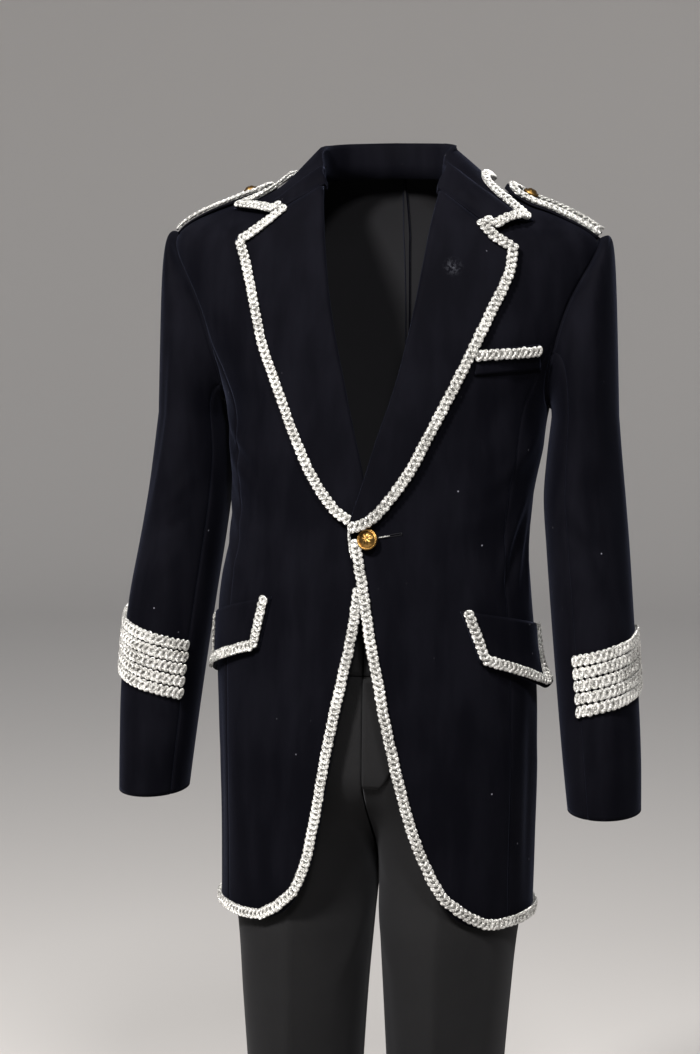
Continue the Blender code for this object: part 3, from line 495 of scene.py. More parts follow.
# On a trouser leg a place is an angle, -90 at the inseam and 0 at the front crease, and a height
LEG_CREASES = {
    1: (
        (-80, -560, -52, -590, -20, -602, 9, -1.8),
        (-84, -590, -60, -620, -26, -640, 9, 1.8),
        (-70, -520, -56, -575, -50, -640, 12, 1.6),
        (-78, -660, -56, -700, -34, -735, 12, 1.8),
        (-60, -700, -52, -790, -48, -880, 12, -1.5),
        (40, -640, 46, -760, 44, -900, 20, 1.4),
        (150, -660, 165, -700, 200, -715, 14, 2.0),
        (140, -700, 175, -735, 220, -740, 12, -1.8),
        (-40, -985, 0, -1010, 48, -1000, 15, 1.4),
        (130, -1000, 180, -1035, 230, -1015, 15, 2.2),
        (135, -1050, 180, -1075, 225, -1060, 13, -1.8),
        (-50, -1395, 0, -1412, 55, -1400, 13, 2.0),
        (-40, -1425, 10, -1434, 50, -1428, 9, -1.6),
    ),
    -1: (
        (-82, -550, -50, -585, -18, -600, 10, -1.6),
        (-84, -600, -58, -628, -30, -650, 9, 1.8),
        (-76, -670, -52, -715, -36, -750, 12, 1.8),
        (-58, -720, -50, -800, -50, -890, 12, -1.4),
        (44, -650, 50, -770, 46, -910, 20, 1.5),
        (146, -655, 170, -694, 206, -708, 14, 2.0),
        (142, -705, 178, -735, 216, -738, 12, -1.7),
        (-44, -990, 4, -1020, 50, -1006, 15, 1.4),
        (128, -1004, 178, -1030, 228, -1020, 15, 2.2),
        (-52, -1392, 0, -1408, 52, -1398, 13, 1.9),
        (-42, -1424, 8, -1436, 46, -1426, 9, -1.5),
    ),
}
LEG_SKIN_PER_DEGREE = 0.0013


class Profile:
    """A table of sizes by height, read at any height on a smooth curve through its rows."""

    def __init__(self, rows):
        self.heights = [row[0] for row in rows]
        self.rows = [row[1:] for row in rows]
        self.slopes = []
        for index in range(len(rows)):
            before = max(index - 1, 0)
            after = min(index + 1, len(rows) - 1)
            run = self.heights[after] - self.heights[before]
            pairs = zip(self.rows[before], self.rows[after])
            self.slopes.append([(high - low) / run for low, high in pairs])

    def read(self, at):
        low = min(max(bisect.bisect_right(self.heights, at) - 1, 0), len(self.heights) - 2)
        width = self.heights[low + 1] - self.heights[low]
        part = min(max((at - self.heights[low]) / width, 0.0), 1.0)
        square = part * part
        cube = square * part
        start = 2 * cube - 3 * square + 1
        start_slope = (cube - 2 * square + part) * width
        end = 3 * square - 2 * cube
        end_slope = (cube - square) * width
        columns = zip(self.rows[low], self.slopes[low], self.rows[low + 1], self.slopes[low + 1])
        return [start * a + start_slope * b + end * c + end_slope * d for a, b, c, d in columns]


def evenly(rows):
    """Rows with their own share of the table's length as the first column."""
    return Profile([(index / (len(rows) - 1), *row) for index, row in enumerate(rows)])


COAT = Profile(COAT_RINGS)
EDGES = Profile(FRONT_EDGES)
SLEEVES = {1: Profile(LEFT_SLEEVE_RINGS), -1: Profile(RIGHT_SLEEVE_RINGS)}
HIPS = Profile(HIP_RINGS)
LEG = Profile(LEG_RINGS)
LAPELS = {1: evenly(LEFT_LAPEL), -1: evenly(RIGHT_LAPEL)}
COLLAR_LINE = evenly(COLLAR)
EASE = Profile(SIDE_EASE)
DIP = Profile(SHOULDER_DIPS)


def sided(table, side, at):
    """A table with one column for the wearer's left and one for the right."""
    return table.read(at)[0 if side > 0 else 1]


def ramp(value):
    """0 below 0, 1 above 1, and a soft step between."""
    value = min(max(value, 0.0), 1.0)
    return value * value * (3 - 2 * value)


def fade(value, start, end):
    """A soft step from 0 where the value is at start to 1 where it is at end."""
    return ramp((value - start) / (end - start))


def mix(first, second, part):
    return first + (second - first) * part


def spread(first, last, count):
    """count + 1 even values from first to last."""
    return [mix(first, last, index / count) for index in range(count + 1)]


class Creases:
    """Soft ridges and troughs over a surface that is measured in metres each way."""

    PIECES = 8
    REACH = 2.6

    def __init__(self, rows, across, along):
        """across and along turn a row's own numbers into metres."""
        self.lines = []
        for row in rows:
            ends = [Vector((row[i] * across, row[i + 1] * along)) for i in (0, 2, 4)]
            bend = ends[1] * 2 - (ends[0] + ends[2]) / 2
            path = []
            for t in spread(0.0, 1.0, self.PIECES):
                path.append(ends[0] * (1 - t) ** 2 + bend * 2 * t * (1 - t) + ends[2] * t**2)
            half_width = row[6] / 1000
            reach = half_width * self.REACH
            box = (
                min(p.x for p in path) - reach,
                max(p.x for p in path) + reach,
                min(p.y for p in path) - reach,
                max(p.y for p in path) + reach,
            )
            self.lines.append((box, [(p.x, p.y) for p in path], half_width, row[7] / 1000))

    def height(self, across, along):
        total = 0.0
        for box, path, half_width, height in self.lines:
            if not (box[0] < across < box[1] and box[2] < along < box[3]):
                continue
            nearest = math.inf
            share = 0.0
            for index in range(self.PIECES):
                ax, ay = path[index]
                bx, by = path[index + 1]
                dx = bx - ax
                dy = by - ay
                part = ((across - ax) * dx + (along - ay) * dy) / (dx * dx + dy * dy)
                part = min(max(part, 0.0), 1.0)
                away = (across - ax - part * dx) ** 2 + (along - ay - part * dy) ** 2
                if away < nearest:
                    nearest = away
                    share = (index + part) / self.PIECES
            taper = math.sin(math.pi * min(max(share, 0.0), 1.0)) ** 0.8
            total += height * taper * math.exp(-nearest / half_width**2)
        return total


def folds(creases, across, along):
    return {side: Creases(rows, across, along) for side, rows in creases.items()}


COAT_FOLDS = folds(COAT_CREASES, SKIN_PER_DEGREE, 0.001)
SLEEVE_FOLDS = folds(SLEEVE_CREASES, SLEEVE_SKIN_PER_DEGREE, SLEEVE_LENGTH / 100)
LEG_FOLDS = folds(LEG_CREASES, LEG_SKIN_PER_DEGREE, 0.001)


class Surface:
    """A piece's outer surface: point(u, v) gives a place on it, and core(p) what it goes round."""

    DEGREES_STEP = 0.3
    SHARE_STEP = 0.002

    def __init__(self, point, core, u_step=SHARE_STEP):
        self.point = point
        self.core = core
        self.u_step = u_step

    def normal(self, u, v):
        across = self.point(u + self.u_step, v) - self.point(u - self.u_step, v)
        along = self.point(u, v + self.SHARE_STEP) - self.point(u, v - self.SHARE_STEP)
        across /= 2 * self.u_step
        along /= 2 * self.SHARE_STEP
        normal = across.cross(along).normalized()
        place = self.point(u, v)
        return normal if normal.dot(place - self.core(place)) > 0 else -normal

    def at(self, u, v, lift=0.0):
        """The point at (u, v), moved out by lift."""
        place = self.point(u, v)
        return place + self.normal(u, v) * lift if lift else place


def ring_place(sizes, angle):
    """Across and deep on a ring whose front and back are of their own depth."""
    half_width, front_y, back_y, side_y = sizes
    depth = (front_y if math.cos(angle) > 0 else back_y) - side_y
    return half_width * math.sin(angle), side_y + depth * abs(math.cos(angle))


def ring_share(sizes, x, y):
    """A place as shares of such a ring's half width and of its depth, which is above 0 in front."""
    half_width, front_y, back_y, side_y = sizes
    forward = 1 if y < side_y else -1
    depth = (front_y if forward > 0 else back_y) - side_y
    return x / half_width, abs((y - side_y) / depth) * forward


def lap(x, z):
    """How far the wearer's left front stands out to lie over the right one."""
    return LAP_LIFT * fade(x, 0.080, 0.020) * fade(z, -0.110, -0.200) * fade(z, -0.520, -0.380)


def coat_point(side, theta, z):
    """On the coat: theta in degrees from the middle of the front round to the back."""
    angle = math.radians(theta)
    sizes = COAT.read(z)
    x, y = ring_place(sizes, angle)
    fold = COAT_FOLDS[side].height(theta * SKIN_PER_DEGREE, z)
    if fold:
        half_width, front_y, back_y, side_y = sizes
        depth = (front_y if math.cos(angle) > 0 else back_y) - side_y
        out = Vector((x / half_width**2, (y - side_y) / depth**2, 0.0)).normalized()
        x += out.x * fold
        y += out.y * fold
    sideways = math.sin(angle) ** 3
    if side > 0:
        if math.cos(angle) > 0:
            step = lap(x, z)
            y -= step
            x += x * 0.4 * step
        x -= LEFT_SKIRT_EASE * fade(z, -0.38, -0.52) * sideways
    if SIDE_EASE[0][0] < z < SIDE_EASE[-1][0]:
        x += sided(EASE, side, z) * sideways
    reach, lift = shoulder_shift(side, x, z)
    return Vector((side * (x + reach), y, z + lift))


def shoulder_shift(side, x, z):
    """How far a shoulder is out and up, as one is carried higher than the other and both dip."""
    near = fade(x, *SHOULDER_TIP_X) * fade(z, -0.10, -0.01)
    reach, lift = SHOULDER_LIFT[side]
    ridge = fade(x / COAT.read(z)[0], 0.66, 0.84) * fade(z, -0.05, 0.01)
    return reach * near, lift * near - sided(DIP, side, x) * ridge


def coat_axis(place):
    return Vector((0.0, COAT.read(place.z)[3], place.z - 0.05))


def coat(side):
    return Surface(lambda theta, z: coat_point(side, theta, z), coat_axis, Surface.DEGREES_STEP)


def theta_of(x, z):
    """The angle at which the coat's front is x from the middle."""
    share = x / COAT.read(z)[0]
    return math.degrees(math.asin(min(max(share, -1.0), 1.0)))


def armhole(angle, grown=1.0):
    """Height and angle on the coat of a place round the armhole, from its top over the front."""
    z = ARMHOLE_Z + grown * ARMHOLE_HALF_HEIGHT * math.cos(angle)
    return z, 90.0 - grown * ARMHOLE_HALF_ANGLE * math.sin(angle)


def armhole_z(theta):
    """The height at which the armhole's lower half crosses an angle."""
    share = (theta - 90.0) / ARMHOLE_HALF_ANGLE
    return ARMHOLE_Z - ARMHOLE_HALF_HEIGHT * math.sqrt(max(1 - share * share, 0.0))


def seam_angle(z, at_back):
    """The angle at which a front or a back ends: side seam, then armhole, then shoulder seam."""
    reach = 90.0 - SIDE_SEAM_FRONT
    if z >= ARMHOLE_Z:
        share = (z - ARMHOLE_Z) / ARMHOLE_HALF_HEIGHT
        reach = ARMHOLE_HALF_ANGLE * math.sqrt(max(1 - share * share, 0.0))
    return 90.0 + reach if at_back else 90.0 - reach


def off_edge(side, z, distance):
    """The place at this distance from a front's edge, on its own side."""
    return theta_of(sided(EDGES, side, z) + distance, z), z


def lapel_surface(side):
    """u runs from the roll line at 0 to the outer edge at 1, v from the gorge at 0 to the foot."""
    cloth = coat(side)
    notch = NOTCH_SHARE[side]

    def point(u, v):
        roll_x, roll_z, outer_x, outer_z = LAPELS[side].read(min(max(v, 0.0), 1.0))
        x = mix(roll_x, outer_x, u)
        z = mix(roll_z, outer_z, u)
        bowed = min(u / notch, (1 - u) / (1 - notch)) * fade(v, 0.20, 0.0)
        z += GORGE_BOW[side] * max(bowed, 0.0)
        return cloth.at(theta_of(x, z), z, LAPEL_LAY_GAP + VELVET_WALL)

    return Surface(point, coat_axis)


def settle(place, clear):
    """A place moved level outwards until the coat is clear of it by this much."""
    side = 1 if place.x >= 0 else -1
    reach, lift = shoulder_shift(side, abs(place.x), place.z)
    reach, lift = shoulder_shift(side, abs(place.x) - reach, place.z - lift)
    sizes = COAT.read(place.z - lift)
    theta = math.degrees(math.atan2(*ring_share(sizes, abs(place.x) - reach, place.y)))
    skin = coat(side).at(theta, place.z - lift, clear)
    middle = Vector((0.0, sizes[3], place.z))
    short = (skin - middle).length - (place - middle).length
    return place.lerp(skin, ramp(0.5 + short / SETTLE_SOFTNESS))


def collar_surface(side):
    """u runs from the fold at 0 to the outer edge at 1, v from the middle of the back to the gorge."""
    edge = 0 if side > 0 else 2
    cloth = coat(side)
    lapel = lapel_surface(side)
    tip = cloth.at(COLLAR[-1][edge], COLLAR[-1][edge + 1], LAY_GAP + VELVET_WALL)
    above = Vector((0, 0, GORGE_GAP))
    notch_share = NOTCH_SHARE[side]
    notch = lapel.at(notch_share, 0.0) + above

    def fall(u, v):
        columns = COLLAR_LINE.read(v)
        fold = Vector((side * columns[4] - NECK_SHIFT * fade(v, 1.0, 0.55), *columns[5:7]))
        outer = cloth.at(columns[edge], columns[edge + 1], LAY_GAP + VELVET_WALL)
        bulge = 4 * u * (1 - u) * FALL_BULGE
        return fold.lerp(outer, u) + (fold - Vector((0, 0.015, 0.06))).normalized() * bulge

    def front(u):
        """The end of the fall: along the gorge to the notch, then out to the collar's point."""
        if u < notch_share:
            return lapel.at(u, 0.0) + above
        return notch.lerp(tip, (u - notch_share) / (1 - notch_share))

    def point(u, v):
        v = min(max(v, 0.0), 1.0)
        near_end = max((v - COLLAR_END_SHARE) / (1 - COLLAR_END_SHARE), 0.0) ** 1.5
        place = fall(u, v)
        if near_end:
            place = place.lerp(front(min(max(u, 0.0), 1.0)), near_end)
        return settle(place, LAPEL_LAY_GAP + VELVET_WALL + COLLAR_STAND_OFF)

    return Surface(point, coat_axis)


def sleeve_base(side, phi, v):
    """phi in degrees from the outer side, over the front, inner side and back; v down the arm."""
    angle = math.radians(phi)

    def ring(z):
        inner, outer, middle_y, half_depth = SLEEVES[side].read(z)
        x = (inner + outer) / 2 + (outer - inner) / 2 * math.cos(angle)
        return Vector((side * x, middle_y - half_depth * math.sin(angle), z))

    if v >= CAP_SHARE:
        return ring(mix(CAP_Z, CUFF_Z, (v - CAP_SHARE) / (1 - CAP_SHARE)))
    seam_z, theta = armhole(angle)
    seam = coat_point(side, theta, seam_z)
    seam.x += side * SEAM_GAP * 2
    lower = ring(CAP_Z)
    upper_side = max(math.cos(angle), 0.0)
    head_x = lower.x - side * HEAD_PULL * upper_side
    head = Vector((head_x, lower.y, seam.z + HEAD_RISE * upper_side))
    part = max(v, 0.0) / CAP_SHARE
    pull = 2 * part * (1 - part) * (1 + HEAD_FULLNESS * upper_side**2)
    whole = (1 - part) ** 2 + pull + part**2
    return (seam * (1 - part) ** 2 + head * pull + lower * part**2) / whole


def sleeve_axis(place):
    z = min(max(place.z, CUFF_Z), CAP_Z)
    inner, outer, middle_y = SLEEVES[1 if place.x > 0 else -1].read(z)[:3]
    return Vector((math.copysign((inner + outer) / 2, place.x), middle_y, min(place.z, -0.060)))


def head_puckers(side, phi, v):
    """The eased fullness of a sleeve head, in short ridges across its seam."""
    first, step, count, depth = HEAD_PUCKERS[side]
    along = (phi - first) / step
    if not 0.0 < along < count or not 0.0 < v < 0.16:
        return 0.0
    uneven = 0.65 + 0.35 * math.sin(2.3 * along + side)
    ends = math.sin(math.pi * along / count) ** 0.7
    end = 0.12 + 0.03 * math.sin(1.7 * along)
    shown = fade(v, 0.0, 0.012) * fade(v, end, 0.03)
    return depth / 1000 * uneven * ends * shown * math.cos(2 * math.pi * along)


def sleeve_point(side, phi, v):
    place = sleeve_base(side, phi, v)
    turn = (phi + 60.0) % 360.0 - 60.0
    fold = SLEEVE_FOLDS[side].height(turn * SLEEVE_SKIN_PER_DEGREE, v * SLEEVE_LENGTH)
    fold += head_puckers(side, turn, v)
    if fold:
        place += (place - sleeve_axis(place)).normalized() * fold
    return place


def sleeve(side):
    return Surface(lambda phi, v: sleeve_point(side, phi, v), sleeve_axis, Surface.DEGREES_STEP)


def flap_surface(side):
    """u runs from the front edge to the back edge, v from the top at 0 to the bottom at 1."""
    cloth = coat(side)
    top_front, top_back, bottom_front, bottom_back = FLAP_HEIGHTS[side]

    def point(u, v):
        theta = mix(*FLAP_THETA[side], u) + FLAP_SLANT[side] * v * (1 - u)
        theta += FLAP_BACK_SLANT[side] * max(1 - v, 0.0) ** 0.8 * max(u, 0.0)
        bottom = mix(bottom_front, bottom_back, u)
        rounded = max((u - FLAP_ROUND_SHARE) / (1 - FLAP_ROUND_SHARE), 0.0)
        bottom += FLAP_ROUNDING[side] * rounded**2
        stand = LAY_GAP + VELVET_WALL + FLAP_FLARE[side] * v**4 * u**2
        return cloth.at(theta, mix(mix(top_front, top_back, u), bottom, v), stand)

    return Surface(point, coat_axis)


def welt_surface():
    """u runs from the inner end to the outer end, v from the top at 0 to the bottom at 1."""
    cloth = coat(1)

    def point(u, v):
        z = mix(*WELT_TOP_Z, u) - WELT_DEPTH * v
        return cloth.at(theta_of(mix(*WELT_X, u), z), z, LAY_GAP + VELVET_WALL)

    return Surface(point, coat_axis)


def shoulder_height(side, x, y):
    """The height of the coat above a place on the shoulder, found by halving."""
    low, high = SHOULDER_RIDGE_Z
    for _ in range(26):
        z = (low + high) / 2
        across, deep = ring_share(COAT.read(z), x, y)
        low, high = (z, high) if across**2 + deep**2 < 1 else (low, z)
    return low + shoulder_shift(side, x, low)[1]


def strap_surface(side):
    """u runs from the sleeve at 0 to the inner end at 1, v from the front at -1 to the back at 1."""

    def point(u, v):
        x = mix(*STRAP_X[side], u)
        y = STRAP_Y + v * STRAP_HALF_WIDTH
        under = x - SHOULDER_LIFT[side][0] * fade(x, *SHOULDER_TIP_X)
        stiff = shoulder_height(side, under, STRAP_Y) - STRAP_DROOP * v * v
        stiff += STRAP_TILT[side] * (v + 1)
        z = max(shoulder_height(side, under, y), stiff) + LAY_GAP + VELVET_WALL
        return Vector((side * x, y, z + STRAP_END_RISE[side] * u * u))

    return Surface(point, lambda place: Vector((place.x, place.y, place.z - 1.0)))


def leg_point(side, u, z):
    """u in degrees: -90 inseam, 0 front crease, 90 outer seam, 180 back crease, 270 inseam."""
    angle = math.radians(u)
    inner, outer, middle_y, half_depth = LEG.read(z)
    from_crease = abs((u + 90.0) % 180.0 - 90.0)
    crease = CREASE_DEPTH * math.exp(-from_crease / CREASE_ANGLE) * fade(z, -0.560, -0.680)
    crease += LEG_FOLDS[side].height(u * LEG_SKIN_PER_DEGREE, z)
    half_width = (outer - inner) / 2
    x = (inner + outer) / 2 + (half_width + crease * abs(math.sin(angle))) * math.sin(angle)
    leg = Vector((x, middle_y - (half_depth + crease) * math.cos(angle), z))
    if z > CROTCH_Z:
        body = Vector((*ring_place(HIPS.read(z), math.radians((u + 90.0) / 2)), z))
        leg = body.lerp(leg, fade(z, FORK_Z, CROTCH_Z))
    covered = fade(z, -0.690, -0.640) * fade(z, -0.400, -0.440)
    leg.x -= HIP_TUCK[side] * covered * (leg.x / 0.16) ** 2
    leg.x = side * max(leg.x, SEAM_GAP / 2)
    return leg


def leg_axis(place):
    if place.z > FORK_Z:
        return Vector((math.copysign(0.03, place.x), -0.04, place.z))
    inner, outer = LEG.read(place.z)[:2]
    return Vector((math.copysign((inner + outer) / 2, place.x), -0.055, place.z))


def trousers(side):
    return Surface(lambda u, z: leg_point(side, u, z), leg_axis, Surface.DEGREES_STEP)


class Shade:
    """A node's output, so that the maths of a finish is written as Python sums."""

    def __init__(self, finish, output):
        self.finish = finish
        self.output = output

    def maths(self, operation, first, second):
        return self.finish.node("ShaderNodeMath", {"operation": operation}, {0: first, 1: second})

    def __add__(self, other):
        return self.maths("ADD", self, other)

    def __radd__(self, other):
        return self.maths("ADD", other, self)

    def __sub__(self, other):
        return self.maths("SUBTRACT", self, other)

    def __rsub__(self, other):
        return self.maths("SUBTRACT", other, self)

    def __mul__(self, other):
        return self.maths("MULTIPLY", self, other)

    def __rmul__(self, other):
        return self.maths("MULTIPLY", other, self)

    def between(self, low, high):
        """0 at low, 1 at high, with a soft step."""
        settings = {"interpolation_type": "SMOOTHSTEP", "clamp": True}
        sockets = {"Value": self, "From Min": low, "From Max": high}
        return self.finish.node("ShaderNodeMapRange", settings, sockets)


class Finish:
    """A material and the few ways in which its nodes are made."""

    def __init__(self, name, steady):
        self.material = bpy.data.materials.new(name)
        self.material.use_nodes = True
        self.tree = self.material.node_tree
        self.shader = self.tree.nodes["Principled BSDF"]
        self.set(steady)
        self.place = self.node("ShaderNodeTexCoord", output="Object")

    def set(self, sockets):
        """Values or shades for the shader's own sockets."""
        for name, value in sockets.items():
            self.feed(self.shader.inputs[name], value)

    def feed(self, socket, value):
        if isinstance(value, Shade):
            self.tree.links.new(value.output, socket)
        else:
            socket.default_value = (*value, 1.0) if socket.type == "RGBA" else value

    def node(self, kind, settings=None, sockets=None, output=0):
        made = self.tree.nodes.new(kind)
        for name, value in (settings or {}).items():
            setattr(made, name, value)
        for name, value in (sockets or {}).items():
            self.feed(made.inputs[name], value)
        return Shade(self, made.outputs[output])

    def noise(self, scale, detail=2.0, upright=1.0, rough=0.5):
        """Noise with scale patches to the metre, drawn out in height where upright is under 1."""
        place = self.place
        if upright != 1.0:
            sockets = {0: place, 1: (1.0, 1.0, upright)}
            place = self.node("ShaderNodeVectorMath", {"operation": "MULTIPLY"}, sockets)
        sockets = {"Vector": place, "Scale": scale, "Detail": detail, "Roughness": rough}
        return self.node("ShaderNodeTexNoise", {}, sockets)

    def lines(self, direction, scale, distortion=0.0):
        """The fine even lines of a weave or a twist."""
        settings = {"wave_type": "BANDS", "bands_direction": direction}
        sockets = {"Vector": self.place, "Scale": scale, "Distortion": distortion, "Detail": 1.0}
        return self.node("ShaderNodeTexWave", settings, sockets, output=1)

    def blend(self, mask, first, second):
        """A colour that goes from first to second with the mask."""
        sockets = {0: mask, 6: first, 7: second}
        return self.node("ShaderNodeMix", {"data_type": "RGBA"}, sockets, output=2)

    def finished(self, colour, roughness, height, distance, strength, metallic=0.0):
        """Sets what changes over the surface. distance is how far the relief stands out."""
        sockets = {"Height": height, "Distance": distance, "Strength": strength}
        normal = self.node("ShaderNodeBump", {}, sockets)
        self.set(
            {"Base Color": colour, "Roughness": roughness, "Metallic": metallic, "Normal": normal}
        )
        return self.material


def velvet(name, looks, mark=None):
    """Cotton velvet: a dark pile with a pale bloom where it turns away, brushed in clouds."""
    steady = {
        "Specular IOR Level": 0.01,
        "Sheen Weight": looks.velvet_sheen,
        "Sheen Roughness": 0.32,
        "Sheen Tint": looks.velvet_bloom,
    }
    finish = Finish(name, steady)
    clouds = finish.noise(11.0)
    strokes = finish.noise(46.0, 3.0, 0.22)
    pile = finish.noise(1500.0)
    brushed = (clouds * 0.45 + strokes * 0.55).between(0.36, 0.66)
    colour = finish.blend(brushed, looks.velvet_shade, looks.velvet_colour)
    sockets = {"Vector": finish.place, "Scale": 55.0}
    fleck = finish.node("ShaderNodeTexVoronoi", {"feature": "F1"}, sockets)
    lint = (1.0 - fleck.between(0.035, 0.060)) * finish.noise(70.0, 0.0).between(0.58, 0.66)
    colour = finish.blend(lint * 0.55, colour, looks.lint_colour)
    if mark:
        sockets = {0: finish.place, 1: mark}
        away = finish.node("ShaderNodeVectorMath", {"operation": "DISTANCE"}, sockets, output=1)
        uneven = finish.noise(230.0, 3.0, rough=0.7)
        spot = (away + (uneven - 0.5) * MARK_RADIUS * 2.4).between(MARK_RADIUS * 0.1, MARK_RADIUS)
        spot = (1.0 - spot) * uneven.between(0.46, 0.66)
        colour = finish.blend(spot * MARK_STRENGTH, colour, looks.mark_colour)
    return finish.finished(colour, 0.66 + 0.2 * brushed, pile * 0.8 + clouds * 0.2, 0.0006, 0.55)


def velvet_back(name, looks):
    """The wrong side of the velvet, a plain close weave."""
    finish = Finish(name, {"Specular IOR Level": 0.15, "Sheen Weight": 0.04})
    weave = finish.lines("Z", 520.0)
    tone = finish.noise(30.0, 3.0)
    colour = finish.blend(tone, looks.back_shade, looks.back_colour)
    return finish.finished(colour, 0.82 + 0.1 * tone, weave, 0.0002, 0.6)


def wool(name, looks):
    """Fine dark twill, with its diagonal line, a few pale slubs and soft shade."""
    steady = {
        "Specular IOR Level": 0.10,
        "Sheen Weight": 0.03,
        "Sheen Roughness": 0.5,
        "Sheen Tint": looks.wool_bloom,
    }
    finish = Finish(name, steady)
    line = finish.lines("DIAGONAL", 640.0, 0.6)
    across = finish.noise(900.0, 1.0, 0.3)
    tone = finish.noise(9.0, 3.0)
    cloth = (tone * 0.6 + across * 0.4).between(0.30, 0.70)
    colour = finish.blend(cloth, looks.wool_shade, looks.wool_colour)
    colour = finish.blend(line * 0.35, colour, looks.wool_shade)
    height = line * 0.7 + across * 0.3
    return finish.finished(colour, 0.72 + 0.12 * across, height, 0.00025, 0.7)


def silver(name, looks):
    """Silver thread over a pale core, with dull places and bright ones."""
    finish = Finish(name, {"Specular IOR Level": 0.5})
    thread = finish.lines("DIAGONAL", 1100.0, 5.0)
    grain = finish.noise(620.0)
    tarnish = finish.noise(26.0, 3.0)
    worn = (grain * 0.75 + tarnish * 0.25).between(0.43, 0.60)
    colour = finish.blend(worn, looks.silver_colour, looks.silver_shade)
    height = thread * 0.6 + grain * 0.4
    metallic = 0.55 + 0.4 * grain
    return finish.finished(colour, 0.26 + 0.30 * grain, height, 0.0006, 0.9, metallic)


def brass(name, looks):
    """Polished brass, duller in random patches."""
    finish = Finish(name, {})
    tarnish = finish.noise(420.0, 3.0)
    scratch = finish.noise(1500.0, 1.0, 0.15)
    colour = finish.blend(tarnish.between(0.42, 0.70), looks.brass_colour, looks.brass_shade)
    return finish.finished(colour, 0.24 + 0.22 * tarnish, scratch, 0.0001, 0.3, 1.0)


def silk_thread(name, looks):
    """The black twist of the buttonhole, with painted light on it: its raised places painted lighter,
    its hollows painted darker.
    """
    finish = Finish(name, {"Specular IOR Level": 0.15})
    twist = finish.noise(2600.0, 1.0)
    # Painted light and shade: where the twist noise is high the thread is painted lighter, and in its
    # low hollows darker; the same noise gives the relief.
    colour = finish.blend(twist, looks.silk_shade, looks.silk_colour)
    return finish.finished(colour, 0.6 + 0.2 * twist, twist, 0.0002, 0.5)


def floor_finish(name, colour):
    finish = Finish(name, {"Roughness": 0.9, "Specular IOR Level": 0.1})
    paler = [min(part * 1.04, 1.0) for part in colour]
    finish.set({"Base Color": finish.blend(finish.noise(0.7), colour, paler)})
    return finish.material


FINISHES = {
    "velvet": velvet,
    "velvet_back": velvet_back,
    "wool": wool,
    "silver": silver,
    "brass": brass,
    "silk_thread": silk_thread,
}
MADE = {}


def finish_for(kind, looks, *mark):
    """Each finish is made once. A marked one has a rubbed spot at the place of the mark."""
    name = f"{kind}_marked_finish" if mark else f"{kind}_finish"
    if name not in MADE:
        MADE[name] = FINISHES[kind](name, looks, *mark)
    return MADE[name]


def add_object(name, data):
    thing = bpy.data.objects.new(name, data)
    bpy.context.scene.collection.objects.link(thing)
    return thing


def add_mesh(name, points, faces, material):
    mesh = bpy.data.meshes.new(name)
    mesh.from_pydata(points, [], faces)
    mesh.materials.append(material)
    mesh.shade_smooth()
    return add_object(name, mesh)


def settle_piece(piece, node):
    """A finished piece takes its node's place."""
    if node:
        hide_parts(node)
    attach(piece, BODY)


def cloth_piece(node, grid, outward, wall, outer, inner):
    """Rows of outer points as one wall. outward(p) is the point that the surface faces away from."""
    mesh = bpy.data.meshes.new(f"{node}_cloth")
    build = bmesh.new()
    rows = [[build.verts.new(place) for place in row] for row in grid]
    for lower, upper in zip(rows, rows[1:]):
        for column in range(len(lower) - 1):
            build.faces.new((lower[column], lower[column + 1], upper[column + 1], upper[column]))
    build.normal_update()
    facing = 0.0
    for face in build.faces:
        middle = face.calc_center_median()
        away = (middle - outward(middle)).normalized()
        facing += face.normal.dot(away) * face.calc_area()
    if facing < 0:
        bmesh.ops.reverse_faces(build, faces=build.faces[:])
    build.to_mesh(mesh)
    build.free()
    mesh.materials.append(outer)
    mesh.materials.append(inner)
    mesh.shade_smooth()
    piece = add_object(mesh.name, mesh)
    shell = piece.modifiers.new("wall", "SOLIDIFY")
    shell.thickness = wall
    shell.offset = -1.0
    shell.material_offset = 1
    settle_piece(piece, node)


def velvet_piece(node, grid, outward, looks, inner="velvet", mark=()):
    outer = finish_for("velvet", looks, *mark)
    inner = finish_for(inner, looks)
    cloth_piece(node, grid, outward, VELVET_WALL, outer, inner)


def wool_piece(node, grid, outward, looks):
    twill = finish_for("wool", looks)
    cloth_piece(node, grid, outward, WOOL_WALL, twill, twill)


def turned_in(count, first=True):
    """Shares across a piece and how far each is turned in, with the seam allowance at its ends."""
    inner = [(share, 0.0) for share in spread(0.0, 1.0, count)[1:-1]]
    sewn = [(share / count, depth) for share, depth in SEAM_TURN]
    start = sewn if first else [(0.0, 0.0)]
    return start + inner + [(1 - share, depth) for share, depth in reversed(sewn)]


def drawn_in(surface, u, v, depth):
    """A point moved level towards the middle of what the cloth goes round."""
    place = surface.at(u, v)
    if not depth:
        return place
    inward = surface.core(place) - place
    inward.z = 0.0
    return place + inward.normalized() * depth


def plain_grid(surface, columns, rows):
    return [[surface.at(u, v) for u in spread(0.0, 1.0, columns)] for v in spread(0.0, 1.0, rows)]


def sewn_grid(surface, rows, ends, columns, first=True, part=1.0):
    """Rows between the two ends of each, turned in there by a part of the whole seam allowance."""
    grid = []
    for v in rows:
        start, end = ends(v)
        row = []
        for share, depth in turned_in(columns, first):
            row.append(drawn_in(surface, mix(start, end, share), v, depth * part))
        grid.append(row)
    return grid


def front_grid(side):
    """A front, from its edge or roll line to the side seam, armhole and shoulder seam."""

    def ends(z):
        rolled = fade(z, *ROLL_START_Z) * (ROLL_RADIUS + SEAM_GAP)
        return off_edge(side, z, rolled)[0], seam_angle(z, False)

    rows = spread(HEM_Z, HEM_CORNER_Z, 6)
    rows += spread(HEM_CORNER_Z, HEM_CURVE_Z, 14)[1:]
    rows += spread(HEM_CURVE_Z, COAT_TOP_Z, 136)[1:]
    return sewn_grid(coat(side), rows, ends, columns=38, first=False)


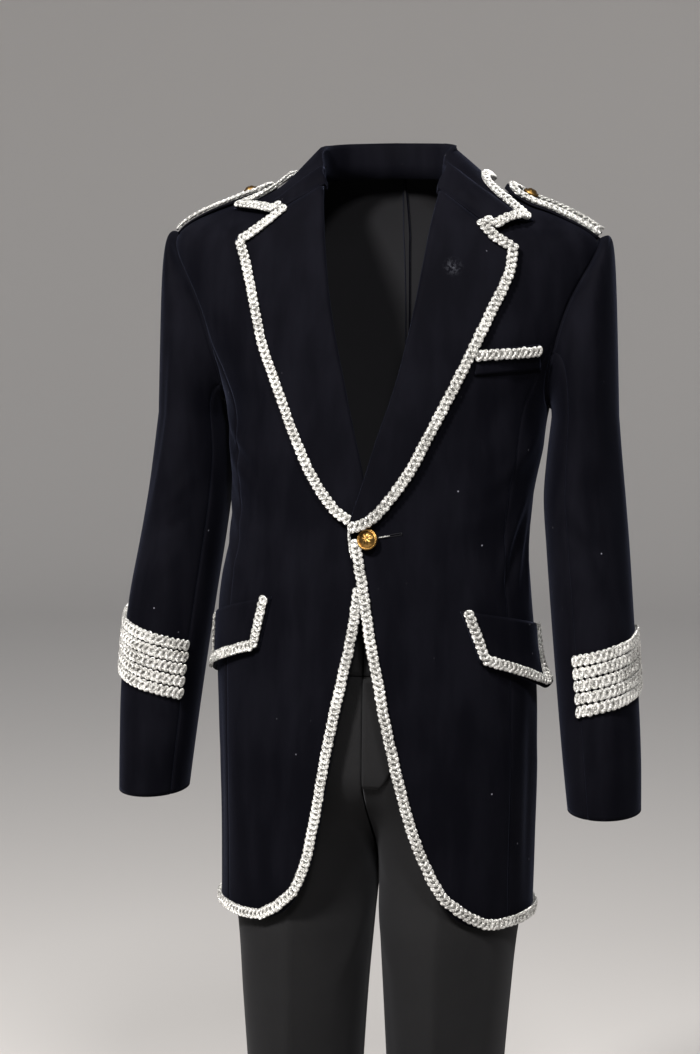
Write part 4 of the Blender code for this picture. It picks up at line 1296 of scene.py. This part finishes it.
def back_grid(side):
    """A back, from the side seam, armhole and shoulder seam to the middle."""
    rows = spread(HEM_Z, COAT_TOP_Z, 150)
    return sewn_grid(coat(side), rows, lambda z: (seam_angle(z, True), 180.0), columns=28)


def side_grid(side):
    """A side body, from the hem up to the armhole."""
    surface = coat(side)
    grid = []
    for part, top_depth in turned_in(104, first=False):
        row = []
        for share, depth in turned_in(26):
            theta = mix(SIDE_SEAM_FRONT, SIDE_SEAM_BACK, share)
            z = mix(HEM_Z, armhole_z(theta), part)
            row.append(drawn_in(surface, theta, z, max(depth, top_depth)))
        grid.append(row)
    return grid


def lapel_grid(side):
    """The lapel, with its first columns turned round the front's edge at the roll line."""
    surface = lapel_surface(side)
    grid = []
    for v in spread(0.0, 1.0, 70):
        roll = surface.at(0.0, v)
        inward = (roll - surface.at(1.0, v)).normalized()
        normal = surface.normal(0.0, v)
        row = [
            roll - normal * (VELVET_WALL + LAPEL_TURN),
            roll + inward * LAPEL_TURN / 4 - normal * LAPEL_TURN / 2,
        ]
        soft = ROLL_LIFT * (1 - v)
        row += [surface.at(u, v, soft * (1 - u) ** 2) for u in spread(0.03, 1.0, 20)]
        grid.append(row)
    return grid


def collar_grid():
    """Stand and fall in one strip, from one gorge round the back to the other."""
    shares = spread(0.0, 0.8, 40) + spread(0.8, 1.0, 18)[1:]
    lengths = [(-1, v) for v in reversed(shares)] + [(1, v) for v in shares[1:]]
    surfaces = {side: collar_surface(side) for side, _ in SIDES}
    grid = []
    for side, v in lengths:
        surface = surfaces[side]
        fold = surface.at(0.0, v)
        inner = (Vector((0.0, NECK_Y, fold.z)) - fold).normalized() * STAND_THICKNESS
        down = STAND_HEIGHT * fade(v, 1.0, 0.5) + STAND_END_HEIGHT
        foot = fold + inner - Vector((0, 0, down))
        turn = fold + inner * 0.96 - Vector((0, 0, STAND_END_HEIGHT * 2 / 3))
        row = [foot, foot.lerp(turn, 0.5), turn, fold + inner / 2 + Vector((0, 0, LAY_GAP))]
        row += [surface.at(u, v) for u in spread(0.0, 1.0, 16)]
        grid.append(row)
    return grid


def collar_middle(place):
    return Vector((place.x * 0.9, NECK_Y + (place.y - NECK_Y) * 0.9, place.z - 0.01))


def sleeve_allowance(body, phi):
    """The sleeve's seam allowance, a little past the armhole's edge and under the coat."""
    z, theta = armhole(math.radians(phi), 1.05)
    return body.at(theta, z, -0.0046)


def sleeve_grid(side, part):
    """A top or an under sleeve, with its seam allowance in the first row."""
    surface = sleeve(side)
    body = coat(side)
    front_seam = FRONT_SLEEVE_SEAM[side]
    first, last, columns = {
        "top": (HIND_SLEEVE_SEAM - 360.0, front_seam, 46),
        "under": (front_seam, HIND_SLEEVE_SEAM, 22),
    }[part]
    across = turned_in(columns)
    grid = [[sleeve_allowance(body, mix(first, last, share)) for share, _ in across]]
    for v in spread(0.0, CAP_SHARE, 44) + spread(CAP_SHARE, 1.0, 84)[1:]:
        row = []
        for share, depth in across:
            depth = max(depth * fade(v, 0.0, 0.05), 0.0010 * fade(v, 0.02, 0.0))
            row.append(drawn_in(surface, mix(first, last, share), v, depth))
        grid.append(row)
    return grid


def strap_grid(side):
    """A shoulder strap, narrowed at its inner end."""
    surface = strap_surface(side)
    grid = []
    for u in spread(0.0, 1.0, 30):
        narrow = 1.0 - 0.28 * fade(u, 0.90, 1.00) ** 2
        grid.append([surface.at(u, v * narrow) for v in spread(-1.0, 1.0, 14)])
    return grid


def trouser_grid(side, part):
    """The front or the back of a leg, up to the waistband."""
    ends = {"front": (-90.0, 90.0), "back": (90.0, 270.0)}[part]
    rows = spread(LEG_TOP_Z, THIGH_Z, 44) + spread(THIGH_Z, LEG_HEM_Z, 100)[1:]
    return sewn_grid(trousers(side), rows, lambda z: ends, columns=36, part=0.5)


def waistband_grid():
    """The band, open by a hair at the middle of the front."""
    grid = []
    for z in spread(WAIST_Z - BAND_HEIGHT, WAIST_Z, 6):
        row = []
        for theta in spread(BAND_OPENING, 360.0 - BAND_OPENING, 120):
            x, y = ring_place(HIPS.read(z), math.radians(theta))
            row.append(Vector((x, y, z)))
        grid.append(row)
    return grid


def waist_middle(place):
    return Vector((0.0, -0.04, place.z))


def fly_grid():
    """The fly's cover, from the middle of the front, round at its foot."""
    surface = trousers(1)
    grid = []
    for z in spread(*FLY_Z, 26):
        below = max(FLY_ROUND_Z - z, 0.0) / FLY_ROUND_HEIGHT
        reach = FLY_WIDTH * math.sqrt(max(1 - below**2, 0.0))
        last = FLY_EDGE + math.degrees(2 * reach / HIPS.read(z)[0])
        grid.append([surface.at(u, z, WOOL_WALL + LAY_GAP) for u in spread(FLY_EDGE, last, 8)])
    return grid


class Track:
    """A line over a surface, through (u, v) places, measured along its length."""

    def __init__(self, surface, path):
        self.surface = surface
        self.path = path
        places = [surface.at(u, v) for u, v in path]
        self.lengths = [0.0]
        for before, after in zip(places, places[1:]):
            self.lengths.append(self.lengths[-1] + (after - before).length)

    def place(self, length):
        """(u, v) this far along."""
        length = min(max(length, 0.0), self.lengths[-1])
        index = min(bisect.bisect_right(self.lengths, length) - 1, len(self.path) - 2)
        run = self.lengths[index + 1] - self.lengths[index]
        part = (length - self.lengths[index]) / run if run else 0.0
        (first_u, first_v), (last_u, last_v) = self.path[index : index + 2]
        return mix(first_u, last_u, part), mix(first_v, last_v, part)

    def stand(self, length, reach):
        """A point on the line, with the directions along it, across it and out of the cloth."""
        here = self.place(length)
        before = self.surface.at(*self.place(length - reach))
        after = self.surface.at(*self.place(length + reach))
        out = self.surface.normal(*here)
        along = (after - before).normalized()
        along = (along - out * along.dot(out)).normalized()
        return self.surface.at(*here), along, out.cross(along), out


def inside(surface, edge, inner, distance=BRAID_INSET):
    """The (u, v) place at a distance from an edge place, on the way to an inner one."""
    part = distance / (surface.at(*inner) - surface.at(*edge)).length
    return mix(edge[0], inner[0], part), mix(edge[1], inner[1], part)


def angles(count):
    """Even angles once round."""
    return [2 * math.pi * index / count for index in range(count)]


def round_faces(rows, columns, closed=False):
    """Faces between rows of points that go round, and from the last row to the first if closed."""
    faces = []
    for row in range(rows if closed else rows - 1):
        low = row * columns
        high = (row + 1) % rows * columns
        for column in range(columns):
            beside = (column + 1) % columns
            faces.append((low + column, high + column, high + beside, low + beside))
    return faces


def capped_faces(rows, columns):
    """Faces of a tube with flat ends."""
    last = (rows - 1) * columns
    ends = [tuple(range(columns)), tuple(range(last, last + columns))[::-1]]
    return ends + round_faces(rows, columns)


def spun(profile, steps, rise=lambda out, up, angle: up):
    """A profile of (out, up) pairs turned round the upright, as points and faces."""
    points = []
    for out, up in profile:
        for angle in angles(steps):
            points.append((out * math.cos(angle), out * math.sin(angle), rise(out, up, angle)))
    return points, round_faces(len(profile), steps)


def joined(name, parts, material, node):
    """Many small closed forms as one mesh: parts holds (points, faces) of each."""
    points = []
    faces = []
    for part_points, part_faces in parts:
        first = len(points)
        points += part_points
        faces += [tuple(first + index for index in face) for face in part_faces]
    settle_piece(add_mesh(name, points, faces, material), node)


def cord_ring(trim, draws, lift, narrow, thin, stand):
    """One oval ring of cord, tilted along the braid and a little uneven."""
    place, along, across, out = stand
    half_width = trim.ring_half_width * draws.uniform(0.95, 1.05) * narrow
    half_length = trim.ring_half_length * draws.uniform(0.94, 1.06)
    tilt = trim.ring_tilt * draws.uniform(0.8, 1.25)
    skew = trim.ring_skew * draws.uniform(0.4, 1.6)
    centre = place + out * (lift + trim.cord_radius * trim.cord_flatness + trim.ring_tilt)
    centre += across * draws.uniform(-0.0003, 0.0003)
    points = []
    for angle in angles(RING_TURNS):
        sideways = math.sin(angle) * half_width
        forward = math.cos(angle) * half_length + sideways * skew
        spine = centre + along * forward + across * sideways + out * tilt * math.cos(angle)
        beyond = along * math.cos(angle) * half_width + across * math.sin(angle) * half_length
        beyond.normalize()
        cord = trim.cord_radius * thin * (1 + trim.lobe_swell * math.sin(angle) ** 4)
        for around in angles(CORD_SIDES):
            high = math.sin(around) * cord * trim.cord_flatness
            points.append(spine + beyond * math.cos(around) * cord + out * high)
    return points


def braid_rings(name, surface, path, lift, trim, narrow=1.0, thin=1.0):
    """Overlapping rings of silver cord, each tilted to lie on the one before, on a tape."""
    track = Track(surface, path)
    whole = track.lengths[-1] - 2 * trim.ring_half_length
    count = max(round(whole / trim.ring_pitch), 1)
    draws = random.Random(name)
    faces = round_faces(RING_TURNS, CORD_SIDES, closed=True)
    parts = []
    for length in spread(0.0, whole, count):
        stand = track.stand(trim.ring_half_length + length, trim.ring_pitch / 2)
        parts.append((cord_ring(trim, draws, lift, narrow, thin, stand), faces))
    tape = []
    for length in spread(0.0, track.lengths[-1], count * 2):
        place, along, across, out = track.stand(length, 0.002)
        reach = across * trim.tape_half_width * narrow * thin
        low = place + out * lift * 0.6
        high = place + out * (lift + trim.cord_radius * trim.cord_flatness * 0.8)
        tape += [low + reach, low - reach, high - reach * 0.9, high + reach * 0.9]
    parts.append((tape, capped_faces(count * 2 + 1, 4)))
    return parts


def braid(node, surface, path, lift, trim, looks, beside=(), narrow=1.0):
    """The braid of one node, with any further parts that are sewn beside it."""
    parts = braid_rings(node, surface, path, lift, trim, narrow) + list(beside)
    joined(f"{node}_rings", parts, finish_for("silver", looks), node)


def button(node, place, normal, radius, petals, looks, dome=1.0):
    """A domed, rimmed button with a plain raised rosette and a beaded rim."""

    def relief(out, up, angle):
        first, last = ROSETTE
        if up > 0.32 and first < out < last:
            petal = abs(math.cos(petals * angle / 2)) ** 1.5
            up += 0.055 * petal * math.sin(math.pi * (out - first) / (last - first))
        if up > 0.3 and BEADS[0] < out < BEADS[1]:
            up += 0.030 * math.cos(petals * 5 * angle)
        return up

    piece = add_mesh(f"{node}_cast", *spun(BUTTON_PROFILE, 96, relief), finish_for("brass", looks))
    build = bmesh.new()
    build.from_mesh(piece.data)
    bmesh.ops.remove_doubles(build, verts=build.verts[:], dist=1e-7)
    bmesh.ops.recalc_face_normals(build, faces=build.faces[:])
    build.to_mesh(piece.data)
    build.free()
    size = Matrix.Diagonal((radius, radius, radius * dome, 1.0))
    turn = normal.to_track_quat("Z", "Y").to_matrix().to_4x4()
    piece.data.transform(Matrix.Translation(place) @ turn @ size)
    settle_piece(piece, node)


def stitch(first, last, radius, out):
    """A short fat thread between two points, round and with pointed ends."""
    along = (last - first).normalized()
    across = along.cross(out).normalized()
    points = []
    for part, swell in STITCH_SWELL:
        middle = first.lerp(last, part) + out * radius * 1.2 * math.sin(math.pi * part)
        for angle in angles(STITCH_SIDES):
            round_it = across * math.cos(angle) + out * math.sin(angle)
            points.append(middle + round_it * radius * swell)
    return points, capped_faces(len(STITCH_SWELL), STITCH_SIDES)


def tint(name, description, default):
    return FloatVectorProperty(
        name=name, description=description, subtype="COLOR", default=default
    )


def measure(name, description, default):
    return FloatProperty(name=name, description=description, unit="LENGTH", default=default)


def number(name, description, default):
    return FloatProperty(name=name, description=description, default=default)


class SuitLooks(PropertyGroup):
    velvet_colour: tint("Velvet", "Pile brushed up", (0.0027, 0.0027, 0.0041))
    velvet_shade: tint("Velvet shade", "Pile brushed down", (0.0014, 0.0014, 0.0023))
    velvet_bloom: tint("Bloom", "Tint where the pile turns away", (0.55, 0.62, 1.0))
    velvet_sheen: number("Sheen", "Strength of the bloom", 0.036)
    lint_colour: tint("Lint", "Flecks on the pile", (0.17, 0.17, 0.20))
    mark_colour: tint("Mark", "Rubbed spot of the left lapel", (0.20, 0.21, 0.25))
    back_colour: tint("Wrong side", "Back of the velvet", (0.0042, 0.0042, 0.0054))
    back_shade: tint("Wrong side shade", "Its darker threads", (0.0022, 0.0022, 0.0030))
    wool_colour: tint("Wool", "Lit side of the twill", (0.0060, 0.0059, 0.0064))
    wool_shade: tint("Wool shade", "Hollows of the twill", (0.0026, 0.0026, 0.0029))
    wool_bloom: tint("Wool bloom", "Tint where the twill turns away", (0.85, 0.87, 0.95))
    silver_colour: tint("Silver", "Bright thread", (0.90, 0.895, 0.87))
    silver_shade: tint("Silver shade", "Tarnished thread", (0.30, 0.295, 0.28))
    brass_colour: tint("Brass", "Polished places", (0.20, 0.115, 0.034))
    brass_shade: tint("Brass shade", "Dull places", (0.085, 0.047, 0.0145))
    # Painted light and painted shade on the buttonhole's twist: the lighter colour for its raised
    # places, the darker for its hollows.
    silk_colour: tint("Silk", "Lit side of the buttonhole twist", (0.009, 0.009, 0.011))
    silk_shade: tint("Silk shade", "Hollows of the twist", (0.003, 0.003, 0.004))


class BraidTrim(PropertyGroup):
    ring_pitch: measure("Ring pitch", "From one ring to the next", 0.0056)
    ring_half_width: measure("Half width", "Of a ring's centre line", 0.0036)
    ring_half_length: measure("Half length", "Of a ring's centre line", 0.0027)
    ring_tilt: measure("Tilt", "Rise of a ring's leading side", 0.0008)
    ring_skew: number("Slant", "Slant of a ring across", 0.22)
    cord_radius: measure("Cord radius", "Of the silver cord", 0.0017)
    cord_flatness: number("Flatness", "Height of the cord over its width", 0.75)
    lobe_swell: number("Lobes", "Cord thicker at its turns", 0.22)
    tape_half_width: measure("Tape half width", "Under the rings", 0.0034)


class StudioStage(PropertyGroup):
    floor_colour: tint("Floor", "Colour of the floor", (0.62, 0.60, 0.585))
    key_power: number("Key light", "Watts", 256.0)
    second_power: number("Second light", "Watts", 90.0)
    sky_strength: number("Sky", "Light from all round", 0.26)


class DRESSSUIT_OT_coat_body(Operator):
    """Fronts, side bodies and backs of the coat"""

    bl_idname = "dress_suit.coat_body"
    bl_label = "Coat body"

    def execute(self, context):
        looks = context.scene.dress_suit_looks
        for side, word in SIDES:
            for part, grid in (("front", front_grid), ("side", side_grid), ("back", back_grid)):
                velvet_piece(f"{part}_{word}", grid(side), coat_axis, looks, "velvet_back")
        return {"FINISHED"}


class DRESSSUIT_OT_lapels(Operator):
    """Both lapels, turned round the roll line"""

    bl_idname = "dress_suit.lapels"
    bl_label = "Lapels"

    def execute(self, context):
        looks = context.scene.dress_suit_looks
        marks = {1: [tuple(lapel_surface(1).at(*MARK_PLACE))], -1: []}
        for side, word in SIDES:
            grid = lapel_grid(side)
            velvet_piece(f"lapel_{word}", grid, coat_axis, looks, mark=marks[side])
        return {"FINISHED"}


class DRESSSUIT_OT_collar(Operator):
    """The collar, stand and fall in one strip"""

    bl_idname = "dress_suit.collar"
    bl_label = "Collar"

    def execute(self, context):
        velvet_piece("collar", collar_grid(), collar_middle, context.scene.dress_suit_looks)
        return {"FINISHED"}


class DRESSSUIT_OT_sleeves(Operator):
    """Top and under sleeves"""

    bl_idname = "dress_suit.sleeves"
    bl_label = "Sleeves"

    def execute(self, context):
        looks = context.scene.dress_suit_looks
        for side, word in SIDES:
            for part in ("top", "under"):
                grid = sleeve_grid(side, part)
                velvet_piece(f"sleeve_{part}_{word}", grid, sleeve_axis, looks, "velvet_back")
        return {"FINISHED"}


class DRESSSUIT_OT_pockets(Operator):
    """Pocket flaps and the chest welt"""

    bl_idname = "dress_suit.pockets"
    bl_label = "Flaps and welt"

    def execute(self, context):
        looks = context.scene.dress_suit_looks
        for side, word in SIDES:
            grid = plain_grid(flap_surface(side), columns=40, rows=16)
            velvet_piece(f"flap_{word}", grid, coat_axis, looks)
        grid = plain_grid(welt_surface(), columns=22, rows=9)
        velvet_piece("chest_welt", grid, coat_axis, looks)
        return {"FINISHED"}


class DRESSSUIT_OT_straps(Operator):
    """Shoulder straps"""

    bl_idname = "dress_suit.straps"
    bl_label = "Shoulder straps"

    def execute(self, context):
        looks = context.scene.dress_suit_looks
        for side, word in SIDES:
            velvet_piece(f"strap_{word}", strap_grid(side), strap_surface(side).core, looks)
        return {"FINISHED"}


class DRESSSUIT_OT_edge_braids(Operator):
    """Braid down the front edges and along the hem"""

    bl_idname = "dress_suit.edge_braids"
    bl_label = "Edge and hem braid"

    def execute(self, context):
        looks = context.scene.dress_suit_looks
        trim = context.scene.dress_suit_braid
        inset = BRAID_WIDTH / 2
        hem = HEM_Z + inset
        for side, word in SIDES:
            surface = coat(side)
            path = [off_edge(side, z, inset) for z in spread(EDGE_BRAID_TOP[side], EDGE_BRAID_FOOT, 44)]
            corner = sided(EDGES, side, HEM_CORNER_Z)
            path.append((theta_of(corner + 0.009, HEM_CORNER_Z), -0.657))
            path.append((theta_of(corner + 0.026, -0.670), -0.668))
            start = off_edge(side, HEM_Z, 0.004)[0]
            path += [(theta, hem) for theta in spread(start, SIDE_SEAM_BACK - 1.0, 60)]
            beside = []
            if side > 0:
                turn = [off_edge(side, z, -0.0008) for z in spread(-0.278, -0.304, 8)]
                beside = braid_rings("turned braid", surface, turn, -0.0014, trim, 0.10, 0.55)
            braid(f"edge_braid_{word}", surface, path, LAY_GAP, trim, looks, beside)
            path = [(theta, hem) for theta in spread(SIDE_SEAM_BACK + 1.0, 179.6, 40)]
            braid(f"hem_braid_{word}", surface, path, LAY_GAP, trim, looks)
        return {"FINISHED"}


class DRESSSUIT_OT_lapel_braids(Operator):
    """Braid round the lapels and the collar"""

    bl_idname = "dress_suit.lapel_braids"
    bl_label = "Lapel and collar braid"

    def execute(self, context):
        looks = context.scene.dress_suit_looks
        trim = context.scene.dress_suit_braid
        for side, word in SIDES:
            first = NOTCH_SHARE[side] - BRAID_BEFORE_NOTCH
            surface = lapel_surface(side)
            path = self.end(surface, 0.0, 0.12, (first, 0.86), 0.25)
            corner = inside(surface, (0.92, 0.0), (0.92, 0.12))[1]
            path += self.edge(surface, corner, LAPEL_BRAID_FOOT[side])
            braid(f"lapel_braid_{word}", surface, path, LAY_GAP, trim, looks)
            surface = collar_surface(side)
            path = self.end(surface, 1.0, 0.88, (first + 0.05, 0.88), 0.0)
            corner = inside(surface, (0.92, 1.0), (0.92, 0.88))[1]
            path += self.edge(surface, corner, 0.0)
            braid(f"collar_braid_{word}", surface, path, COLLAR_BRAID_GAP, trim, looks)
        return {"FINISHED"}

    def end(self, surface, v, inner_v, across, start):
        """Along the end at v, from its seam, where the inset begins with this share."""
        path = []
        for u in spread(*across, 14):
            inset = BRAID_INSET * min(start + (u - across[0]) / BRAID_EASE, 1.0)
            path.append(inside(surface, (u, v), (u, inner_v), inset))
        return path

    def edge(self, surface, first, last):
        """Along the outer edge."""
        return [inside(surface, (1.0, v), (0.0, v)) for v in spread(first, last, 60)]


class DRESSSUIT_OT_pocket_braids(Operator):
    """Braid on the flaps, the chest welt and the shoulder straps"""

    bl_idname = "dress_suit.pocket_braids"
    bl_label = "Flap, welt and strap braid"

    def execute(self, context):
        looks = context.scene.dress_suit_looks
        trim = context.scene.dress_suit_braid
        for side, word in SIDES:
            surface = flap_surface(side)
            path = [inside(surface, (0.0, v), (1.0, v)) for v in spread(0.0, 0.88, 12)]
            along = spread(path[-1][0] + 0.02, 0.94, 40)
            path += [inside(surface, (u, 1.0), (u, 0.0)) for u in along]
            path += [inside(surface, (1.0, v), (0.0, v)) for v in spread(0.82, 0.0, 12)]
            braid(f"flap_braid_{word}", surface, path, LAY_GAP, trim, looks)
            edge = 1 - BRAID_WIDTH / 2 / STRAP_HALF_WIDTH
            path = [(u, -edge) for u in spread(0.01, 0.88, 24)]
            path += [(0.935, -edge * 0.6), (0.945, 0.0), (0.935, edge * 0.6)]
            path += [(u, edge) for u in spread(0.88, 0.01, 24)]
            braid(f"strap_braid_{word}", strap_surface(side), path, LAY_GAP, trim, looks)
        path = [(u, 0.24) for u in spread(0.02, 0.98, 20)]
        braid("welt_braid", welt_surface(), path, LAY_GAP, trim, looks)
        return {"FINISHED"}


class DRESSSUIT_OT_cuff_braids(Operator):
    """Five slanting rows of braid on each forearm"""

    bl_idname = "dress_suit.cuff_braids"
    bl_label = "Cuff braid"

    def execute(self, context):
        looks = context.scene.dress_suit_looks
        trim = context.scene.dress_suit_braid
        for side, word in SIDES:
            surface = sleeve(side)
            first = FRONT_SLEEVE_SEAM[side] + CUFF_ROW_START[side]
            last = HIND_SLEEVE_SEAM - 360.0 + 4.0
            turns = spread(first, CUFF_ROW_PEAK, 40) + spread(CUFF_ROW_PEAK, last, 30)[1:]
            for row in range(CUFF_ROWS):
                path = []
                for phi in turns:
                    fall = abs(phi - CUFF_ROW_PEAK) - (first - CUFF_ROW_PEAK)
                    fall *= CUFF_ROW_RISE_PER_DEGREE[side]
                    z = CUFF_ROW_LOW_Z[side] + row * CUFF_ROW_PITCH - fall
                    path.append((phi, mix(CAP_SHARE, 1.0, (z - CAP_Z) / (CUFF_Z - CAP_Z))))
                node = f"cuff_braid_{word}_{row + 1}"
                braid(node, surface, path, CUFF_BRAID_GAP, trim, looks, narrow=CUFF_BRAID_WIDENING)
        return {"FINISHED"}


class DRESSSUIT_OT_buttons(Operator):
    """The front button and its worked hole, and the strap buttons"""

    bl_idname = "dress_suit.buttons"
    bl_label = "Buttons"

    def execute(self, context):
        looks = context.scene.dress_suit_looks
        cloth = coat(1)
        x, z = FRONT_BUTTON
        theta = theta_of(x, z)
        place = cloth.at(theta, z, FRONT_BUTTON_GAP)
        leaning = (cloth.normal(theta, z) + Vector((-0.22, 0.0, 0.22))).normalized()
        button("front_button", place, leaning, FRONT_BUTTON_RADIUS, 8, looks)
        for side, word in SIDES:
            surface = strap_surface(side)
            place = surface.at(STRAP_BUTTON_SHARE, 0.0, SEAM_GAP)
            normal = surface.normal(STRAP_BUTTON_SHARE, 0.0)
            button(f"strap_button_{word}", place, normal, STRAP_BUTTON_RADIUS, 6, looks, 1.5)
        self.work_hole(cloth, looks)
        return {"FINISHED"}

    def work_hole(self, cloth, looks):
        """Purl stitches round the hole, from under the button out to its bar."""

        def on_hole(x, lift, above=0.0):
            z = mix(*HOLE_Z, (x - HOLE_X[0]) / (HOLE_X[1] - HOLE_X[0]))
            return cloth.at(theta_of(x, z), z + above, lift), cloth.normal(theta_of(x, z), z)

        parts = []
        for x in spread(*HOLE_STITCHES, 26):
            for way in (-1, 1):
                inner, out = on_hole(x, 0.0003, way * HOLE_HALF_OPEN)
                outer = on_hole(x, 0.0002, way * HOLE_REACH)[0]
                parts.append(stitch(inner, outer, 0.00034, out))
        low, out = on_hole(HOLE_BAR_X, 0.0004, -HOLE_REACH)
        high = on_hole(HOLE_BAR_X, 0.0004, HOLE_REACH)[0]
        parts.append(stitch(low, high, 0.0004, out))
        joined("buttonhole_twist", parts, finish_for("silk_thread", looks), None)
        # A short pale silver stitch along the hole, put there as a painted glint: it stands in for
        # light caught in the hole.
        ends = [on_hole(x, 0.0009)[0] for x in HOLE_GLINT_STRAND]
        x, z = GLINT_STRAND_MIDDLE
        strand = stitch(*ends, 0.0007, cloth.normal(theta_of(x, z), z))
        joined("buttonhole_strand", [strand], finish_for("silver", looks), None)


class DRESSSUIT_OT_trousers(Operator):
    """Trouser legs, waistband and fly"""

    bl_idname = "dress_suit.trousers"
    bl_label = "Trousers"

    def execute(self, context):
        looks = context.scene.dress_suit_looks
        for side, word in SIDES:
            for part in ("front", "back"):
                wool_piece(f"trouser_{part}_{word}", trouser_grid(side, part), leg_axis, looks)
        wool_piece("waistband", waistband_grid(), waist_middle, looks)
        wool_piece("fly", fly_grid(), leg_axis, looks)
        return {"FINISHED"}


class DRESSSUIT_OT_stage(Operator):
    """Pale floor, soft studio lights and the camera"""

    bl_idname = "dress_suit.stage"
    bl_label = "Stage"

    def execute(self, context):
        stage = context.scene.dress_suit_stage
        self.floor(stage)
        for name, place, colour in LAMPS:
            self.light(name, place, colour, getattr(stage, f"{name}_power"))
        world = bpy.data.worlds.new("studio")
        context.scene.world = world
        world.use_nodes = True
        sky = world.node_tree.nodes["Background"]
        sky.inputs["Color"].default_value = SKY_COLOUR
        sky.inputs["Strength"].default_value = stage.sky_strength
        context.scene.view_settings.view_transform = "Standard"
        self.camera(context)
        return {"FINISHED"}

    def floor(self, stage):
        """A flat floor that rises far away into a low, even wall all round."""
        profile = [(0.0, 0.0), (3.0, 0.0), (FLOOR_RADIUS, 0.0)]
        for angle in spread(0.0, math.pi / 2, 12)[1:]:
            out = FLOOR_RADIUS + FLOOR_CURVE * math.sin(angle)
            profile.append((out, FLOOR_CURVE * (1 - math.cos(angle))))
        profile.append((FLOOR_RADIUS + FLOOR_CURVE, WALL_HEIGHT))
        ground = CAD_BOX[0].z - FLOOR_GAP
        points, faces = spun(profile, 72, lambda out, up, angle: ground + up)
        material = floor_finish("floor_finish", stage.floor_colour)
        add_mesh("studio_floor", points, faces, material)

    def light(self, name, place, colour, power):
        lamp = bpy.data.lights.new(name, "AREA")
        lamp.shape = "DISK"
        lamp.size = LAMP_WIDTH
        lamp.energy = power
        lamp.color = colour
        holder = add_object(name, lamp)
        holder.location = place
        aim = LAMP_AIM - Vector(place)
        holder.rotation_euler = aim.to_track_quat("-Z", "Y").to_euler()

    def camera(self, context):
        """Level with the neck, a little to the wearer's left and looking a little down."""
        azimuth = math.radians(VIEW_AZIMUTH)
        down = math.radians(VIEW_DOWN)
        right = Vector((math.cos(azimuth), math.sin(azimuth), 0.0))
        level = Vector((-math.sin(azimuth), math.cos(azimuth), 0.0))
        ahead = level * math.cos(down) - Vector((0.0, 0.0, math.sin(down)))
        lens = bpy.data.cameras.new("camera")
        lens.sensor_width = 36.0
        lens.lens = LENS_MM
        holder = add_object("camera", lens)
        holder.location = right * VIEW_BESIDE - level * VIEW_DISTANCE
        holder.rotation_euler = ahead.to_track_quat("-Z", "Y").to_euler()
        context.scene.camera = holder


OPERATORS = (
    DRESSSUIT_OT_coat_body,
    DRESSSUIT_OT_lapels,
    DRESSSUIT_OT_collar,
    DRESSSUIT_OT_sleeves,
    DRESSSUIT_OT_pockets,
    DRESSSUIT_OT_straps,
    DRESSSUIT_OT_edge_braids,
    DRESSSUIT_OT_lapel_braids,
    DRESSSUIT_OT_pocket_braids,
    DRESSSUIT_OT_cuff_braids,
    DRESSSUIT_OT_buttons,
    DRESSSUIT_OT_trousers,
    DRESSSUIT_OT_stage,
)
GROUPS = {
    "dress_suit_looks": SuitLooks,
    "dress_suit_braid": BraidTrim,
    "dress_suit_stage": StudioStage,
}


class DRESSSUIT_PT_panel(Panel):
    """Lists what the suit is made of"""

    bl_label = "Dress Suit"
    bl_idname = "DRESSSUIT_PT_panel"
    bl_space_type = "VIEW_3D"
    bl_region_type = "UI"
    bl_category = "Dress Suit"

    def draw(self, context):
        for name, group in GROUPS.items():
            box = self.layout.box()
            for entry in group.__annotations__:
                box.prop(getattr(context.scene, name), entry)
        for operator in OPERATORS:
            self.layout.operator(operator.bl_idname)


def register():
    for name, group in GROUPS.items():
        bpy.utils.register_class(group)
        setattr(bpy.types.Scene, name, PointerProperty(type=group))
    for shown in (*OPERATORS, DRESSSUIT_PT_panel):
        bpy.utils.register_class(shown)


def unregister():
    for shown in reversed((*OPERATORS, DRESSSUIT_PT_panel)):
        bpy.utils.unregister_class(shown)
    for name, group in reversed(GROUPS.items()):
        delattr(bpy.types.Scene, name)
        bpy.utils.unregister_class(group)


def main():
    register()
    for operator in OPERATORS:
        group, name = operator.bl_idname.split(".")
        getattr(getattr(bpy.ops, group), name)()


if __name__ == "__main__":
    main()
